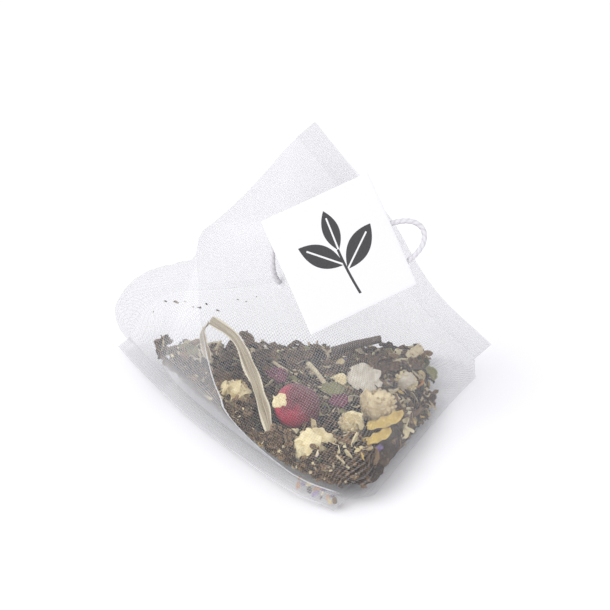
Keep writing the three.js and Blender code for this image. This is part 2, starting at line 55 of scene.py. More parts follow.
def spot(x, y, z):
    """A place given in the bag's own millimetres, in metres in the frame."""
    return (Vector((x, y, z)) + CENTRING) * MM


# ---- camera ----

CAMERA_TARGET = spot(0.4, 9, 20)
CAMERA_DISTANCE = 431 * MM
CAMERA_ELEVATION = math.radians(30.7)
CAMERA_LENS = 135
SENSOR_WIDTH = 36


def add_camera():
    lens = bpy.data.cameras.new("camera")
    lens.lens = CAMERA_LENS
    lens.sensor_width = SENSOR_WIDTH
    lens.clip_start = 0.01
    camera = bpy.data.objects.new("camera", lens)
    away = Vector((0, -math.cos(CAMERA_ELEVATION), math.sin(CAMERA_ELEVATION)))
    camera.location = CAMERA_TARGET + CAMERA_DISTANCE * away
    camera.rotation_euler = (math.pi / 2 - CAMERA_ELEVATION, 0, 0)
    bpy.context.scene.collection.objects.link(camera)
    bpy.context.scene.camera = camera


add_camera()


# ---- working with objects ----

def pick(obj):
    """Makes obj the only selected object, and the active one."""
    bpy.ops.object.select_all(action="DESELECT")
    obj.select_set(True)
    bpy.context.view_layer.objects.active = obj


def added(operator, **settings):
    """The object that the operator adds, as the only selected one."""
    bpy.ops.object.select_all(action="DESELECT")
    operator(**settings)
    return bpy.context.object


def link(obj):
    bpy.context.scene.collection.objects.link(obj)
    return obj


def modify(obj, kind, **settings):
    """Puts a modifier of that kind on obj and applies it."""
    pick(obj)
    modifier = obj.modifiers.new(kind, kind)
    for name, value in settings.items():
        setattr(modifier, name, value)
    bpy.ops.object.modifier_apply(modifier=modifier.name)


def bent(obj, turn, axis, degrees):
    """Bends obj about an axis, upwards, while it is turned so that what bends stands along Z."""
    obj.data.transform(turn)
    modify(obj, "SIMPLE_DEFORM", deform_method="BEND", deform_axis=axis,
           angle=math.radians(-degrees))
    obj.data.transform(turn.inverted())


def smooth(obj, angle):
    pick(obj)
    bpy.ops.object.shade_smooth_by_angle(angle=math.radians(angle))


def crumple(obj, strength, size, depth=2):
    """Pushes obj's surface in and out like dried skin, by up to strength millimetres; size is
    the width of a wrinkle."""
    texture = bpy.data.textures.new("wrinkles", "CLOUDS")
    texture.noise_scale = size * MM
    texture.noise_depth = depth
    modify(obj, "DISPLACE", texture=texture, strength=strength * MM, mid_level=0.5,
           texture_coords="LOCAL")
    bpy.data.textures.remove(texture)


def ragged(obj, amount, seed):
    """Shifts every point of obj up to amount millimetres its own way."""
    pick(obj)
    bpy.ops.object.mode_set(mode="EDIT")
    bpy.ops.mesh.select_all(action="SELECT")
    bpy.ops.transform.vertex_random(offset=amount * MM, uniform=1.0, normal=0.0, seed=seed)
    bpy.ops.object.mode_set(mode="OBJECT")


def new_mesh(name, points, faces):
    mesh = bpy.data.meshes.new(name)
    mesh.from_pydata([tuple(p) for p in points], [], faces)
    return link(bpy.data.objects.new(name, mesh))


def tone(obj, value):
    """Gives every point of obj one shade, from 0 to 1, that its material reads."""
    layer = obj.data.attributes.get("tone") or obj.data.attributes.new("tone", "FLOAT", "POINT")
    layer.data.foreach_set("value", np.full(len(obj.data.vertices), value, np.float32))


def copy_of(obj, matrix, shade):
    """A copy of obj at the matrix, in that shade."""
    twin = obj.copy()
    twin.data = obj.data.copy()
    twin.data.transform(matrix)
    tone(twin, shade)
    return link(twin)


def join(name, parts):
    """Joins the parts into one object of that name."""
    bpy.ops.object.select_all(action="DESELECT")
    for part in parts:
        part.select_set(True)
    bpy.context.view_layer.objects.active = parts[0]
    bpy.ops.object.join()
    parts[0].name = parts[0].data.name = name
    return parts[0]


def drop(*objects):
    for obj in objects:
        bpy.data.objects.remove(obj)


def finish_piece(obj, material, nodes=()):
    """Gives a finished piece its material, unless it has its own, hangs it on the root body, and
    hides the parts it stands for.
    """
    if material:
        obj.data.materials.clear()
        obj.data.materials.append(material)
    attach(obj, "root")
    if nodes:
        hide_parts(*nodes)


# ---- shader maths ----

class Value:
    """A number that varies over a surface. Sums with it add Math nodes."""

    def __init__(self, paint, socket):
        self.paint = paint
        self.socket = socket

    def maths(self, operation, *others):
        node = self.paint.node("Math", {"operation": operation}, dict(enumerate((self, *others))))
        return Value(self.paint, node.outputs[0])

    def __neg__(self):
        return self * -1.0

    def __rsub__(self, other):
        return -self + other

    def step(self, low, high):
        """0 below low, 1 above high, and a soft step between them."""
        node = self.paint.node("MapRange", {"interpolation_type": "SMOOTHSTEP"},
                               {"Value": self, "From Min": low, "From Max": high})
        return Value(self.paint, node.outputs["Result"])


def maths_method(operation):
    return lambda self, *others: self.maths(operation, *others)


OPERATIONS = {
    "__add__": "ADD", "__radd__": "ADD", "__sub__": "SUBTRACT", "__mul__": "MULTIPLY",
    "__rmul__": "MULTIPLY", "__truediv__": "DIVIDE", "__pow__": "POWER", "__abs__": "ABSOLUTE",
    "__lt__": "LESS_THAN", "__gt__": "GREATER_THAN", "most": "MAXIMUM", "exp": "EXPONENT",
    "sine": "SINE", "part": "FRACT",
}
for method, operation in OPERATIONS.items():
    setattr(Value, method, maths_method(operation))


class Paint:
    """The nodes of one material."""

    def __init__(self, name, **finish):
        self.material = bpy.data.materials.new(name)
        self.material.use_nodes = True
        self.tree = self.material.node_tree
        self.tree.nodes.clear()
        self.shader = self.node("BsdfPrincipled", {}, {})
        self.surface(**finish)
        self.node("OutputMaterial", {}, {"Surface": self.shader.outputs[0]})

    def node(self, kind, settings, sockets):
        node = self.tree.nodes.new("ShaderNode" + kind)
        for name, value in settings.items():
            setattr(node, name, value)
        self.feed(node, sockets)
        return node

    def feed(self, node, sockets):
        for name, value in sockets.items():
            if isinstance(value, Value):
                value = value.socket
            if isinstance(value, bpy.types.NodeSocket):
                self.tree.links.new(value, node.inputs[name])
            else:
                node.inputs[name].default_value = value

    def surface(self, **sockets):
        self.feed(self.shader, {name.replace("_", " "): value for name, value in sockets.items()})
        return self.material

    def place(self, scale=(1, 1, 1), turn=(0, 0, 0)):
        """Object coordinates in millimetres, stretched and turned."""
        at = self.node("TexCoord", {}, {})
        size = tuple(s / MM for s in scale)
        mapping = self.node("Mapping", {}, {"Vector": at.outputs["Object"], "Scale": size,
                                            "Rotation": turn})
        return mapping.outputs[0]

    def split(self, vector):
        """The three parts of a vector as values."""
        node = self.node("SeparateXYZ", {}, {0: vector})
        return [Value(self, output) for output in node.outputs]

    def uv(self):
        """The piece's own UV map as two values."""
        return self.split(self.node("UVMap", {}, {}).outputs[0])[:2]

    def shade(self):
        """The shade that tone() gave to this bit."""
        node = self.node("Attribute", {"attribute_name": "tone"}, {})
        return Value(self, node.outputs["Fac"])

    def grain(self, scale, detail=3.0, roughness=0.55, at=None):
        """Cloudy noise from 0 to 1, with scale features to the millimetre."""
        sockets = {"Vector": at or self.place(), "Scale": scale, "Detail": detail,
                   "Roughness": roughness}
        node = self.node("TexNoise", {}, sockets)
        return Value(self, node.outputs["Fac"])

    def mix(self, amount, one, other):
        """From colour one to colour other."""
        node = self.node("Mix", {"data_type": "RGBA"},
                         {0: amount, 6: colour(one), 7: colour(other)})
        return node.outputs[2]

    def bump(self, height, distance, strength=1.0):
        node = self.node("Bump", {}, {"Height": height, "Distance": distance * MM,
                                      "Strength": strength})
        return node.outputs[0]


def colour(value):
    return (*value, 1.0) if isinstance(value, tuple) and len(value) == 3 else value


# ---- the bag's surface ----

TUBE_ROUND = 138.0
TUBE_LENGTH = 60.0
LEAST_OPENING = 0.0016      # of a seal, as a share of its length
RING_SAMPLES = 1441         # points of a level before they are spaced evenly
LAP = 2.0
LEFT = np.array([-34.1, 25.5, 2.2])
FRONT = np.array([7.4, -28.5, 2.2])
PEAK = np.array([-0.6, 2.5, 58.2])
RIGHT = np.array([33.4, 19.0, 2.4])
FLOOR_BAND = 2.8            # widths of the two seals
TOP_BAND = 4.2
FLOOR_BOW = 3.2             # how far each seal is bowed
TOP_BOW = 1.8
PEAK_LEFT_FOLD = 5.0        # how sharply the tube folds, by corner
PEAK_FRONT_FOLD = 2.7
RIGHT_FRONT_FOLD = 4.5
RIGHT_LEFT_FOLD = 5.0
CREASE_START = 19.0         # the crease falls off across the front
CREASE_DROP = 33.5
CREASE_DECAY = 16.3
CREASE_SINK = 2.0
CREASE_LOWEST = 1.0
CREASE_RISE = 2.6
CREASE_STEEP_SIDE = 3.5
CREASE_SOFT_SIDE = 12.0
CREASE_FADES = (11, 18, 62, 70)     # across, where it comes in and goes out
CORNER_FULLNESS = 4.5
CORNER_PLACE = (6, 11)      # across and height, and how far it spreads both ways
CORNER_SPREAD = (11, 12)
BELLY = 3.4
BELLY_TOP = 26.0
BELLY_FADE = 20
FLOOR_SOFTNESS = 1.2
FLOOR_LIFT = 0.25
LEFT_LIFT = 0.5
LEFT_LIFT_FROM = (-27, -20)
SEAL_STIFF = 5              # how far from a seal the mesh lies without ripples
RIPPLE = 0.05
PEAK_ACROSS = 34            # where the peak and the front corner are on the flat pattern
FRONT_ACROSS = 69

FLOOR_MIDDLE = (LEFT + FRONT) / 2
FLOOR_HALF = (FRONT - LEFT) / 2
TOP_MIDDLE = (PEAK + RIGHT) / 2
TOP_HALF = (RIGHT - PEAK) / 2


def unit(v):
    return v / np.linalg.norm(v)


def square_to(direction, edge):
    return unit(direction - edge * (direction @ edge) / (edge @ edge))


TUBE_AXIS = unit(TOP_MIDDLE - FLOOR_MIDDLE)
FLOOR_OUT = square_to(-TUBE_AXIS, FLOOR_HALF)
TOP_OUT = square_to(TUBE_AXIS, TOP_HALF)
FLOOR_FLAT = unit(FLOOR_OUT * (1, 1, 0))


def soft_step(value, low, high):
    t = np.clip((value - low) / (high - low), 0, 1)
    return t * t * (3 - 2 * t)


def tube_level(level, around):
    """One level of the tube, 0 at the floor seal and 1 at the top seal: around + 1 points at
    equal steps of mesh, the last on the first."""
    turn = math.pi * (1 + 2 * np.linspace(0, 1, RING_SAMPLES))
    c, s = np.cos(turn), np.sin(turn)
    power = np.where(c < 0, np.where(s < 0, PEAK_LEFT_FOLD, RIGHT_LEFT_FOLD),
                     np.where(s < 0, PEAK_FRONT_FOLD, RIGHT_FRONT_FOLD))
    reach = (np.abs(c) ** power + np.abs(s) ** power) ** (-1 / power)
    x, y = c * reach, s * reach
    path = (np.outer(x * max(1 - level, LEAST_OPENING), FLOOR_HALF)
            + np.outer(y * max(level, LEAST_OPENING), TOP_HALF))
    length = np.concatenate([[0], np.cumsum(np.linalg.norm(np.diff(path, axis=0), axis=1))])
    wanted = np.linspace(0, length[-1], around + 1)
    x, y = (np.interp(wanted, length, values) for values in (x, y))
    points = np.stack([np.interp(wanted, length, path[:, k]) for k in range(3)], axis=1)
    points = points * TUBE_ROUND / length[-1] + FLOOR_MIDDLE + (TOP_MIDDLE - FLOOR_MIDDLE) * level
    bow = FLOOR_BOW * (1 - level) ** 1.5 * (1 - x * x)
    dip = TOP_BOW * level ** 2 * np.sin(math.pi * np.clip((y + 0.2) / 1.2, 0, 1)) ** 1.5
    return points + np.outer(bow, FLOOR_FLAT) - np.outer(dip, TOP_OUT)


def outward(grid):
    """Normals of a grid of points whose columns close on themselves."""
    along = np.gradient(grid, axis=0)
    ring = grid[:, :-1]
    around = np.roll(ring, -1, axis=1) - np.roll(ring, 1, axis=1)
    normal = np.cross(np.concatenate([around, around[:, :1]], axis=1), along)
    return normal / np.linalg.norm(normal, axis=2, keepdims=True)


def stand_out(across, height, z):
    """How far the mesh stands out from the plain pyramid, at a place on the flat pattern."""
    drop_off = CREASE_DROP * np.exp(-(across - CREASE_START) / CREASE_DECAY)
    crease_height = np.maximum(drop_off - CREASE_SINK, CREASE_LOWEST)
    away = (height - crease_height) / np.hypot(1, drop_off / CREASE_DECAY)
    reach = np.where(away < 0, CREASE_STEEP_SIDE, CREASE_SOFT_SIDE)
    fade = soft_step(across, *CREASE_FADES[:2]) * (1 - soft_step(across, *CREASE_FADES[2:]))
    crease = CREASE_RISE * fade * np.exp(-np.abs(away) / reach)
    from_corner = np.where(across > TUBE_ROUND / 2, across - TUBE_ROUND, across)
    (a, h), (wide, high) = CORNER_PLACE, CORNER_SPREAD
    corner = (CORNER_FULLNESS * np.clip(height / 4, 0, 1)
              * np.exp(-(((from_corner - a) / wide) ** 2) - ((height - h) / high) ** 2))
    off_seals = np.clip(height / 6, 0, 1) * np.clip((TUBE_LENGTH - height) / 6, 0, 1)
    belly = BELLY * np.clip((BELLY_TOP - z) / BELLY_FADE, 0, 1) * off_seals
    return crease + corner + belly


def settle(x, z):
    """Rests the mesh on the floor: flat on it, with a soft turn up to the walls, and with the
    left corner just off it."""
    soft = FLOOR_SOFTNESS * np.log1p(np.exp(np.minimum(z / FLOOR_SOFTNESS, 40)))
    lift = LEFT_LIFT * (1 - soft_step(x, *LEFT_LIFT_FROM))
    return np.maximum(np.where(z > 6 * FLOOR_SOFTNESS, z, soft) - FLOOR_LIFT, 0) + lift


def ripple(across, height):
    """Small waves in the mesh: long ones that run out from the ends of the seals, and faint
    wrinkles where it was handled."""
    beside_peak, beside_front = across - PEAK_ACROSS, across - FRONT_ACROSS
    fan = (np.sin(np.arctan2(height - TUBE_LENGTH - 2, beside_peak) * 17)
           * np.exp(-np.hypot(beside_peak, height - TUBE_LENGTH) / 9))
    tuck = np.sin(np.arctan2(height + 2, beside_front) * 13) * np.exp(
        -np.hypot(beside_front, height) / 10)
    wrinkle = 0
    for a, h, lean, length, rise in WRINKLES:
        c, s = math.cos(lean), math.sin(lean)
        along = (across - a) * c + (height - h) * s
        beside = (height - h) * c - (across - a) * s
        wrinkle = wrinkle + rise * np.exp(-(along / length) ** 2) * (
            np.exp(-(beside / 0.7) ** 2) - 0.6 * np.exp(-((beside - 1.6) / 1.1) ** 2))
    return RIPPLE * fan + RIPPLE * tuck + wrinkle


# Wrinkles on the flat pattern: across, height, lean, half length and rise.
WRINKLES = [
    (84, 14, 1.9, 7, 0.45), (78, 30, 1.2, 9, 0.25), (52, 38, 2.3, 8, 0.2), (40, 46, 0.4, 7, 0.25),
    (30, 40, 1.1, 10, 0.25), (61, 22, 1.4, 8, 0.22), (24, 12, 0.7, 8, 0.3), (12, 20, 2.0, 6, 0.3),
    (36, 6, 0.2, 9, 0.3), (96, 24, 1.7, 8, 0.25), (128, 16, 1.0, 8, 0.3), (112, 34, 2.2, 7, 0.3),
]


def bag_grid(around, levels):
    """The closed tube between its seals, as rows of around + 1 points."""
    heights = np.linspace(0, 1, levels + 1)
    plain = np.stack([tube_level(level, around) for level in heights])
    across, height = np.meshgrid(np.linspace(0, TUBE_ROUND, around + 1), heights * TUBE_LENGTH)
    off_seals = (soft_step(height, 0, SEAL_STIFF)
                 * (1 - soft_step(height, TUBE_LENGTH - SEAL_STIFF, TUBE_LENGTH)))
    push = stand_out(across, height, plain[:, :, 2]) + ripple(across, height) * off_seals
    push[:, -1] = push[:, 0]
    grid = plain + outward(plain) * push[:, :, None]
    grid[:, :, 2] = settle(grid[:, :, 0], grid[:, :, 2])
    return grid


SHEET_STEPS = (276, 120)    # of the visible sheet: around it, and from seal to seal
WALL_STEPS = (138, 60)      # of the plain walls that the contents are kept inside
BAND_ROWS = 4
LAP_STEP = 0.12             # of the lap over the mesh beneath it
BAND_FALL = 1.2             # from the floor seal's line to its cut edge
LEAST_HEIGHT = 0.05


def sheet_points(around, levels):
    """The whole sheet, folded up: its rows run from the floor seal's cut edge to the top seal's,
    and its columns go once round and on over the start by the lap."""
    body = bag_grid(around, levels)
    parts = np.linspace(0, 1, BAND_ROWS + 1)[1:, None, None]
    floor_band = body[0] + FLOOR_FLAT * FLOOR_BAND * parts - (0, 0, BAND_FALL) * parts
    floor_band[:, :, 2] = np.maximum(floor_band[:, :, 2], LEAST_HEIGHT)
    top_band = body[-1] + TOP_OUT * TOP_BAND * parts
    rows = np.concatenate([floor_band[::-1], body, top_band])
    ring = rows[:, :-1]
    over = round(LAP * around / TUBE_ROUND)
    lap = ring[:, :over + 1] + LAP_STEP * outward(rows)[:, :over + 1]
    points = np.concatenate([ring, lap], axis=1)
    heights = np.concatenate([np.linspace(-FLOOR_BAND, 0, BAND_ROWS + 1)[:-1],
                              np.linspace(0, TUBE_LENGTH, levels + 1),
                              np.linspace(TUBE_LENGTH, TUBE_LENGTH + TOP_BAND, BAND_ROWS + 1)[1:]])
    across = np.arange(points.shape[1]) * TUBE_ROUND / around
    return points, across, heights


def grid_faces(rows, columns):
    starts = [i * columns + j for i in range(rows - 1) for j in range(columns - 1)]
    return [(k, k + 1, k + columns + 1, k + columns) for k in starts]


def in_frame(points):
    """Millimetres in the bag's own group, as metres in the frame."""
    return (np.asarray(points).reshape(-1, 3) + np.array(CENTRING)) * MM


# ---- the thread ----

TAG_SIDE = 22.0
TAG_THICK = 0.3
PRINT_SCALE = 1.22          # of the sprig on the tag
TAG_CENTRE = Vector((6.6, -6.4, 39.9))
TAG_ROTATION = (Matrix.Rotation(1.0, 3, "X") @ Matrix.Rotation(0.3, 3, "Y")
                @ Matrix.Rotation(0.436, 3, "Z"))
THREAD = 1.0                # its diameter
THREAD_DEPTH = -0.975       # beneath the tag's middle plane
THREAD_TWIST = 2.4          # millimetres of thread to one turn of its two strands
THREAD_SIDES = 14
STRAND_DEPTH = 0.14         # of the groove between the strands, as a share of the radius
THREAD_ROUTE = [
    (-10.9, -0.7, -5.6), (-11.4, 1, -4.5), (-11.4, 3, -2.9), (-10.8, 5.1, -1.6), (-9.6, 7),
    (-7.8, 8.1), (-5, 8.5), (0, 8.5), (4, 8.5), (6.9, 8.5), (8.4, 7.9), (9, 6.4), (8.4, 4.9),
    (6.9, 4.3), (4, 4.3), (0, 4.3), (-3, 4.3), (-6, 4.3), (-7.4, 3.7), (-8, 2.3), (-7.4, 0.9),
    (-6, 0.3), (-3, 0.3), (1, 0.4), (5, 0.7), (9, 0.9), (12.6, 0.6, -0.9), (15.3, -0.6, -0.6),
    (16.4, -2.6, -0.5), (15.5, -4.8, -0.6), (12.9, -6.3, -0.9), (9, -7.1), (5, -7.5), (0, -7.6),
    (-3.4, -7.6), (-6.4, -7.6), (-7.9, -7), (-8.5, -5.5), (-7.9, -4), (-6.4, -3.4),
    (-3.4, -3.4), (1, -3.4), (6.5, -3.5),
]


def on_tag(x, y, z=THREAD_DEPTH):
    """A place in the tag's own plane, in the frame."""
    return (TAG_CENTRE + CENTRING + TAG_ROTATION @ Vector((x, y, z))) * MM


def smooth_path(points, step):
    """A curve through the points, as places about a step apart."""
    points = [np.array(p) for p in points]
    points = [2 * points[0] - points[1], *points, 2 * points[-1] - points[-2]]
    path = []
    for a, b, c, d in zip(points, points[1:], points[2:], points[3:]):
        count = max(2, round(np.linalg.norm(c - b) / step))
        for i in range(count):
            t = i / count
            path.append(0.5 * (2 * b + (c - a) * t + (2 * a - 5 * b + 4 * c - d) * t * t
                               + (3 * b - a - 3 * c + d) * t ** 3))
    path.append(points[-2])
    return [Vector(p) for p in path]


def twisted_tube(name, path, radius, twist):
    """A two-strand thread along a path, with a UV map of its length and round."""
    sides = THREAD_SIDES
    points, lengths, along, side = [], [], 0.0, Vector((0, 0, 1))
    for i, here in enumerate(path):
        if i:
            along += (here - path[i - 1]).length
        ahead = (path[min(i + 1, len(path) - 1)] - path[max(i - 1, 0)]).normalized()
        side = (side - ahead * side.dot(ahead)).normalized()
        up = ahead.cross(side)
        lengths.append(along / MM)
        for k in range(sides):
            turn = 2 * math.pi * k / sides
            bulge = abs(math.cos(turn - 2 * math.pi * along / twist))
            lobe = 1 - STRAND_DEPTH + STRAND_DEPTH * bulge
            points.append(here + radius * lobe * (side * math.cos(turn) + up * math.sin(turn)))
    faces = []
    for i in range(len(path) - 1):
        for k in range(sides):
            a, b = i * sides + k, i * sides + (k + 1) % sides
            faces.append((a, b, b + sides, a + sides))
    faces.append(tuple(reversed(range(sides))))
    faces.append(tuple(range(len(points) - sides, len(points))))
    tube = new_mesh(name, points, faces)
    uv = tube.data.uv_layers.new(name="UVMap")
    for loop in tube.data.loops:
        uv.data[loop.index].uv = (lengths[loop.vertex_index // sides],
                                  (loop.vertex_index % sides) / sides)
    smooth(tube, 60)
    return tube


def thread_material():
    paint = Paint("soft_thread", Roughness=0.75)
    along, around = paint.uv()
    ply = (along * (2 * math.pi / THREAD_TWIST * 2) + around * (4 * math.pi)).sine()
    fibre = paint.grain(9)
    # Painted shade of the twist: the strands are painted lighter on their crowns and darker in the
    # groove between them, on top of the real strands.
    light = paint.mix((ply * 0.5 + 0.5).step(0.0, 0.55), (0.62, 0.61, 0.63), (0.72, 0.705, 0.73))
    height = ply * 0.4 + fibre
    return paint.surface(Base_Color=light, Roughness=fibre * 0.2 + 0.65,
                         Normal=paint.bump(height, 0.08, 0.6))


def make_thread():
    route = [on_tag(*place) for place in THREAD_ROUTE]
    path = smooth_path(route, 0.3 * MM)
    piece = twisted_tube("folded_thread", path, THREAD / 2 * MM, THREAD_TWIST * MM)
    finish_piece(piece, thread_material(), ["thread"])


make_thread()

# ---- the mesh bag ----

THREAD_PITCH = 0.44         # of the weave
THREAD_COVER = 0.29         # half width of a thread, as a share of the pitch
THREAD_EDGE = 0.12          # softness of its edge
THREAD_SOLIDITY = 0.165     # how much of the light one thread stops
FILM_SOLIDITY = 0.11        # and the film between the threads
CLEARER_ON_TEA = 0.45       # how much clearer the mesh is where it lies on the tea
CREASE_LINE = 0.32          # width of the sharp fold along the crease
CREASE_SOLIDITY = 0.85      # how solid that fold is, and the mesh just below it
UNDER_CREASE_SOLIDITY = 0.3
SEAL_SOLIDITY = 0.24        # of the fused bands
SEAL_KNURL = 0.45           # size of the pattern pressed into them
LAP_CLEARNESS = 0.8
CLEAR_TINT = (0.33, 0.33, 0.35)
# The milky tint serves the threads and the seals, and below the crease it is also painted light
# over the shade under the bag.
MILKY_AND_PAINTED_LIGHT_TINT = (0.80, 0.80, 0.82)
SHEET_WIDTH = TUBE_ROUND + LAP
SHEET_LENGTH = TUBE_LENGTH + FLOOR_BAND + TOP_BAND


def mesh_material():
    """Woven film: milky threads with clear gaps between them. It is fused along both seals, and
    doubled by the sharp fold of the crease. Below the crease it is whiter and more solid: partly
    its own haze, and partly painted light that whitens the shade under the bag."""
    paint = Paint("woven_mesh", Roughness=0.5)
    u, v = paint.uv()
    across = u * SHEET_WIDTH
    height = v * SHEET_LENGTH - FLOOR_BAND
    drift = paint.grain(0.25, 1.0)

    drop_off = ((across - CREASE_START) * (-1 / CREASE_DECAY)).exp() * CREASE_DROP
    slope = drop_off / CREASE_DECAY
    crease_height = (drop_off - CREASE_SINK).most(CREASE_LOWEST)
    away = (height - crease_height) / (slope * slope + 1) ** 0.5
    in_front = across.step(16, 20) * (1 - across.step(66, 69))
    under = -away
    below = under.step(0.0, 0.9) * in_front
    sharp = (1 - abs(away).step(CREASE_LINE / 2, CREASE_LINE)) * in_front * across.step(24, 32)
    hazy = under.step(-0.2, 0.3) * (1 - under.step(1.0, 2.4)) * in_front * across.step(32, 42)

    seal = (height * -1).step(-0.12, 0.05).most((height - TUBE_LENGTH).step(-0.12, 0.05))
    fused = (seal * SEAL_SOLIDITY).most(sharp * CREASE_SOLIDITY)
    fused = fused.most(hazy * UNDER_CREASE_SOLIDITY)

    cover = (drift - 0.5) * 0.1 + THREAD_COVER
    thin, full = cover - THREAD_EDGE, cover + THREAD_EDGE
    warp = abs((across / THREAD_PITCH).part() - 0.5) * 2
    weft = abs((height / THREAD_PITCH).part() - 0.5) * 2
    threads = 2 - warp.step(thin, full) - weft.step(thin, full)
    knurl = math.pi / SEAL_KNURL
    pressed = (across * knurl).sine() * (height * knurl).sine()
    on_tea = (1 - height.step(8, 24)) * across.step(28, 42) * (1 - across.step(92, 108))
    alpha = threads * THREAD_SOLIDITY + FILM_SOLIDITY
    alpha = alpha * (1 - on_tea * (1 - below) * CLEARER_ON_TEA)
    # Below the crease, and most of all just above the floor seal, the mesh is made more solid:
    # partly its own haze, and partly painted light that whitens the shade under the bag.
    milky_haze_and_painted_light = below * (0.1 + (1 - height.step(2.5, 8)) * height.step(0, 1) * 0.22)
    alpha = (alpha + milky_haze_and_painted_light).most(fused * (pressed * 0.04 + 0.9))
    alpha = alpha * (1 - across.step(TUBE_ROUND - 0.1, TUBE_ROUND) * LAP_CLEARNESS)
    relief = (1 - warp * warp) * 0.5 + (1 - weft * weft) * 0.5 + fused * pressed * 0.4
    # Below the crease the milky tint is partly painted light over the shade under the bag.
    tint = paint.mix(fused.most(below).most(threads * 0.8), CLEAR_TINT, MILKY_AND_PAINTED_LIGHT_TINT)
    return paint.surface(Base_Color=tint, Alpha=alpha, Roughness=0.62 - fused * 0.25,
                         Normal=paint.bump(relief, 0.08, 0.5))


def make_bag():
    points, across, heights = sheet_points(*SHEET_STEPS)
    rows, columns = points.shape[:2]
    bag = new_mesh("woven_bag", in_frame(points), grid_faces(rows, columns))
    uv = bag.data.uv_layers.new(name="UVMap")
    corner = np.empty(len(bag.data.loops), np.int32)
    bag.data.loops.foreach_get("vertex_index", corner)
    u = across[corner % columns] / SHEET_WIDTH
    v = (heights[corner // columns] + FLOOR_BAND) / SHEET_LENGTH
    uv.data.foreach_set("uv", np.stack([u, v], axis=1).astype(np.float32).ravel())
    smooth(bag, 70)
    finish_piece(bag, mesh_material(), ["mesh_bag"])


make_bag()


# ---- keeping the contents inside ----

PIECE_ROOM = 0.35 * MM      # between a piece and the mesh
BIT_ROOM = 0.3 * MM         # and between a scattered bit and the mesh
WALL_GRID = bag_grid(*WALL_STEPS)
WALLS = BVHTree.FromPolygons([tuple(p) for p in in_frame(WALL_GRID)],
                             grid_faces(*WALL_GRID.shape[:2]))


def depth_inside(point):
    """How deep a point is inside the bag, negative outside, and the way out."""
    wall, normal, _, _ = WALLS.find_nearest(point)
    return (wall - point).dot(normal), normal


def keep_inside(obj):
    """Presses in whatever of obj would stand through the mesh."""
    for vertex in obj.data.vertices:
        depth, normal = depth_inside(vertex.co)
        if depth < PIECE_ROOM:
            vertex.co -= normal * (PIECE_ROOM - depth)


# ---- tag ----

VEIN_HALF = 0.13
SPRIG_LEAVES = [((0, 0.4), 88, 6.2, 2.6), ((-0.1, -1.8), 138, 7.4, 3.3),
                ((0.1, -2.6), 38, 7.6, 3.4)]


def leaf_shape(x, y, base, lean, length, width):
    """Where a printed leaf is, less its middle vein: 1 inside and 0 outside."""
    lean = math.radians(lean)
    (bx, by), (c, s) = base, (math.cos(lean), math.sin(lean))
    along = (x - bx) * c + (y - by) * s
    beside = abs((y - by) * c - (x - bx) * s)
    part = along * (2 / length) - 1
    inside = beside < (1 - part * part) * (width / 2)
    vein = (beside < VEIN_HALF) * (along < 0.82 * length)
    return inside * (1 - vein)


def printed_sprig(paint):
    """A plain sprig of two leaves and a bud, in millimetres from the tag's middle."""
    u, v = paint.uv()
    x, y = (u - 0.5) * TAG_SIDE / PRINT_SCALE, (v - 0.5) * TAG_SIDE / PRINT_SCALE
    bud, left, right = (leaf_shape(x, y, *leaf) for leaf in SPRIG_LEAVES)
    stalk = (abs(x - y * y * 0.012 + 0.1) < 0.2) * (y < 0.6) * (y > -6.6)
    return bud.most(left).most(right).most(stalk)


def paper_material(name, printed):
    paint = Paint(name, Roughness=0.72, Specular_IOR_Level=0.2)
    fibre = paint.grain(3.2, 5.0, 0.7)
    paper = paint.mix(fibre, (0.79, 0.785, 0.795), (0.83, 0.825, 0.835))
    if printed:
        ink = printed_sprig(paint) * (0.97 - fibre * 0.06)
        paper = paint.mix(ink, paper, (0.02, 0.02, 0.022))
    return paint.surface(Base_Color=paper, Normal=paint.bump(fibre, 0.02, 0.35))


def make_tag():
    tag = added(bpy.ops.mesh.primitive_grid_add, x_subdivisions=36, y_subdivisions=36,
                size=TAG_SIDE * MM)
    tag.name = "paper_tag"
    bent(tag, Matrix.Rotation(math.pi / 2, 4, "X"), "X", -3)
    crumple(tag, 0.12, 9, 1)
    tag.data.materials.append(paper_material("tag_front", True))
    tag.data.materials.append(paper_material("tag_back", False))
    modify(tag, "SOLIDIFY", thickness=TAG_THICK * MM, offset=0, material_offset=1,
           material_offset_rim=1)
    modify(tag, "BEVEL", width=0.07 * MM, segments=2, limit_method="ANGLE")
    smooth(tag, 50)
    tag.data.transform(Matrix.Translation(on_tag(0, 0, 0)) @ TAG_ROTATION.to_4x4())
    finish_piece(tag, None, ["tag"])


def make_tack():
    """The small melted spot that holds the end of the thread on the mesh."""
    tack = added(bpy.ops.mesh.primitive_uv_sphere_add, segments=24, ring_count=12,
                 radius=0.8 * MM)
    bpy.ops.transform.resize(value=(1.5, 0.8, 0.35))
    bpy.ops.object.transform_apply(scale=True)
    crumple(tack, 0.3, 0.7)
    end = on_tag(*THREAD_ROUTE[0])
    wall, normal, _, _ = WALLS.find_nearest(end)
    lie = normal.to_track_quat("Z", "X").to_matrix().to_4x4()
    tack.data.transform(Matrix.Translation(wall + normal * 0.1 * MM) @ lie)
    smooth(tack, 60)
    paint = Paint("melted_spot", Roughness=0.35)
    cloud = paint.grain(2.5)
    tint = paint.mix(cloud, (0.86, 0.86, 0.89), (0.96, 0.96, 0.97))
    tack.name = "thread_tack"
    finish_piece(tack, paint.surface(Base_Color=tint))


make_tag()
make_tack()


# ---- dried plants: finishes ----

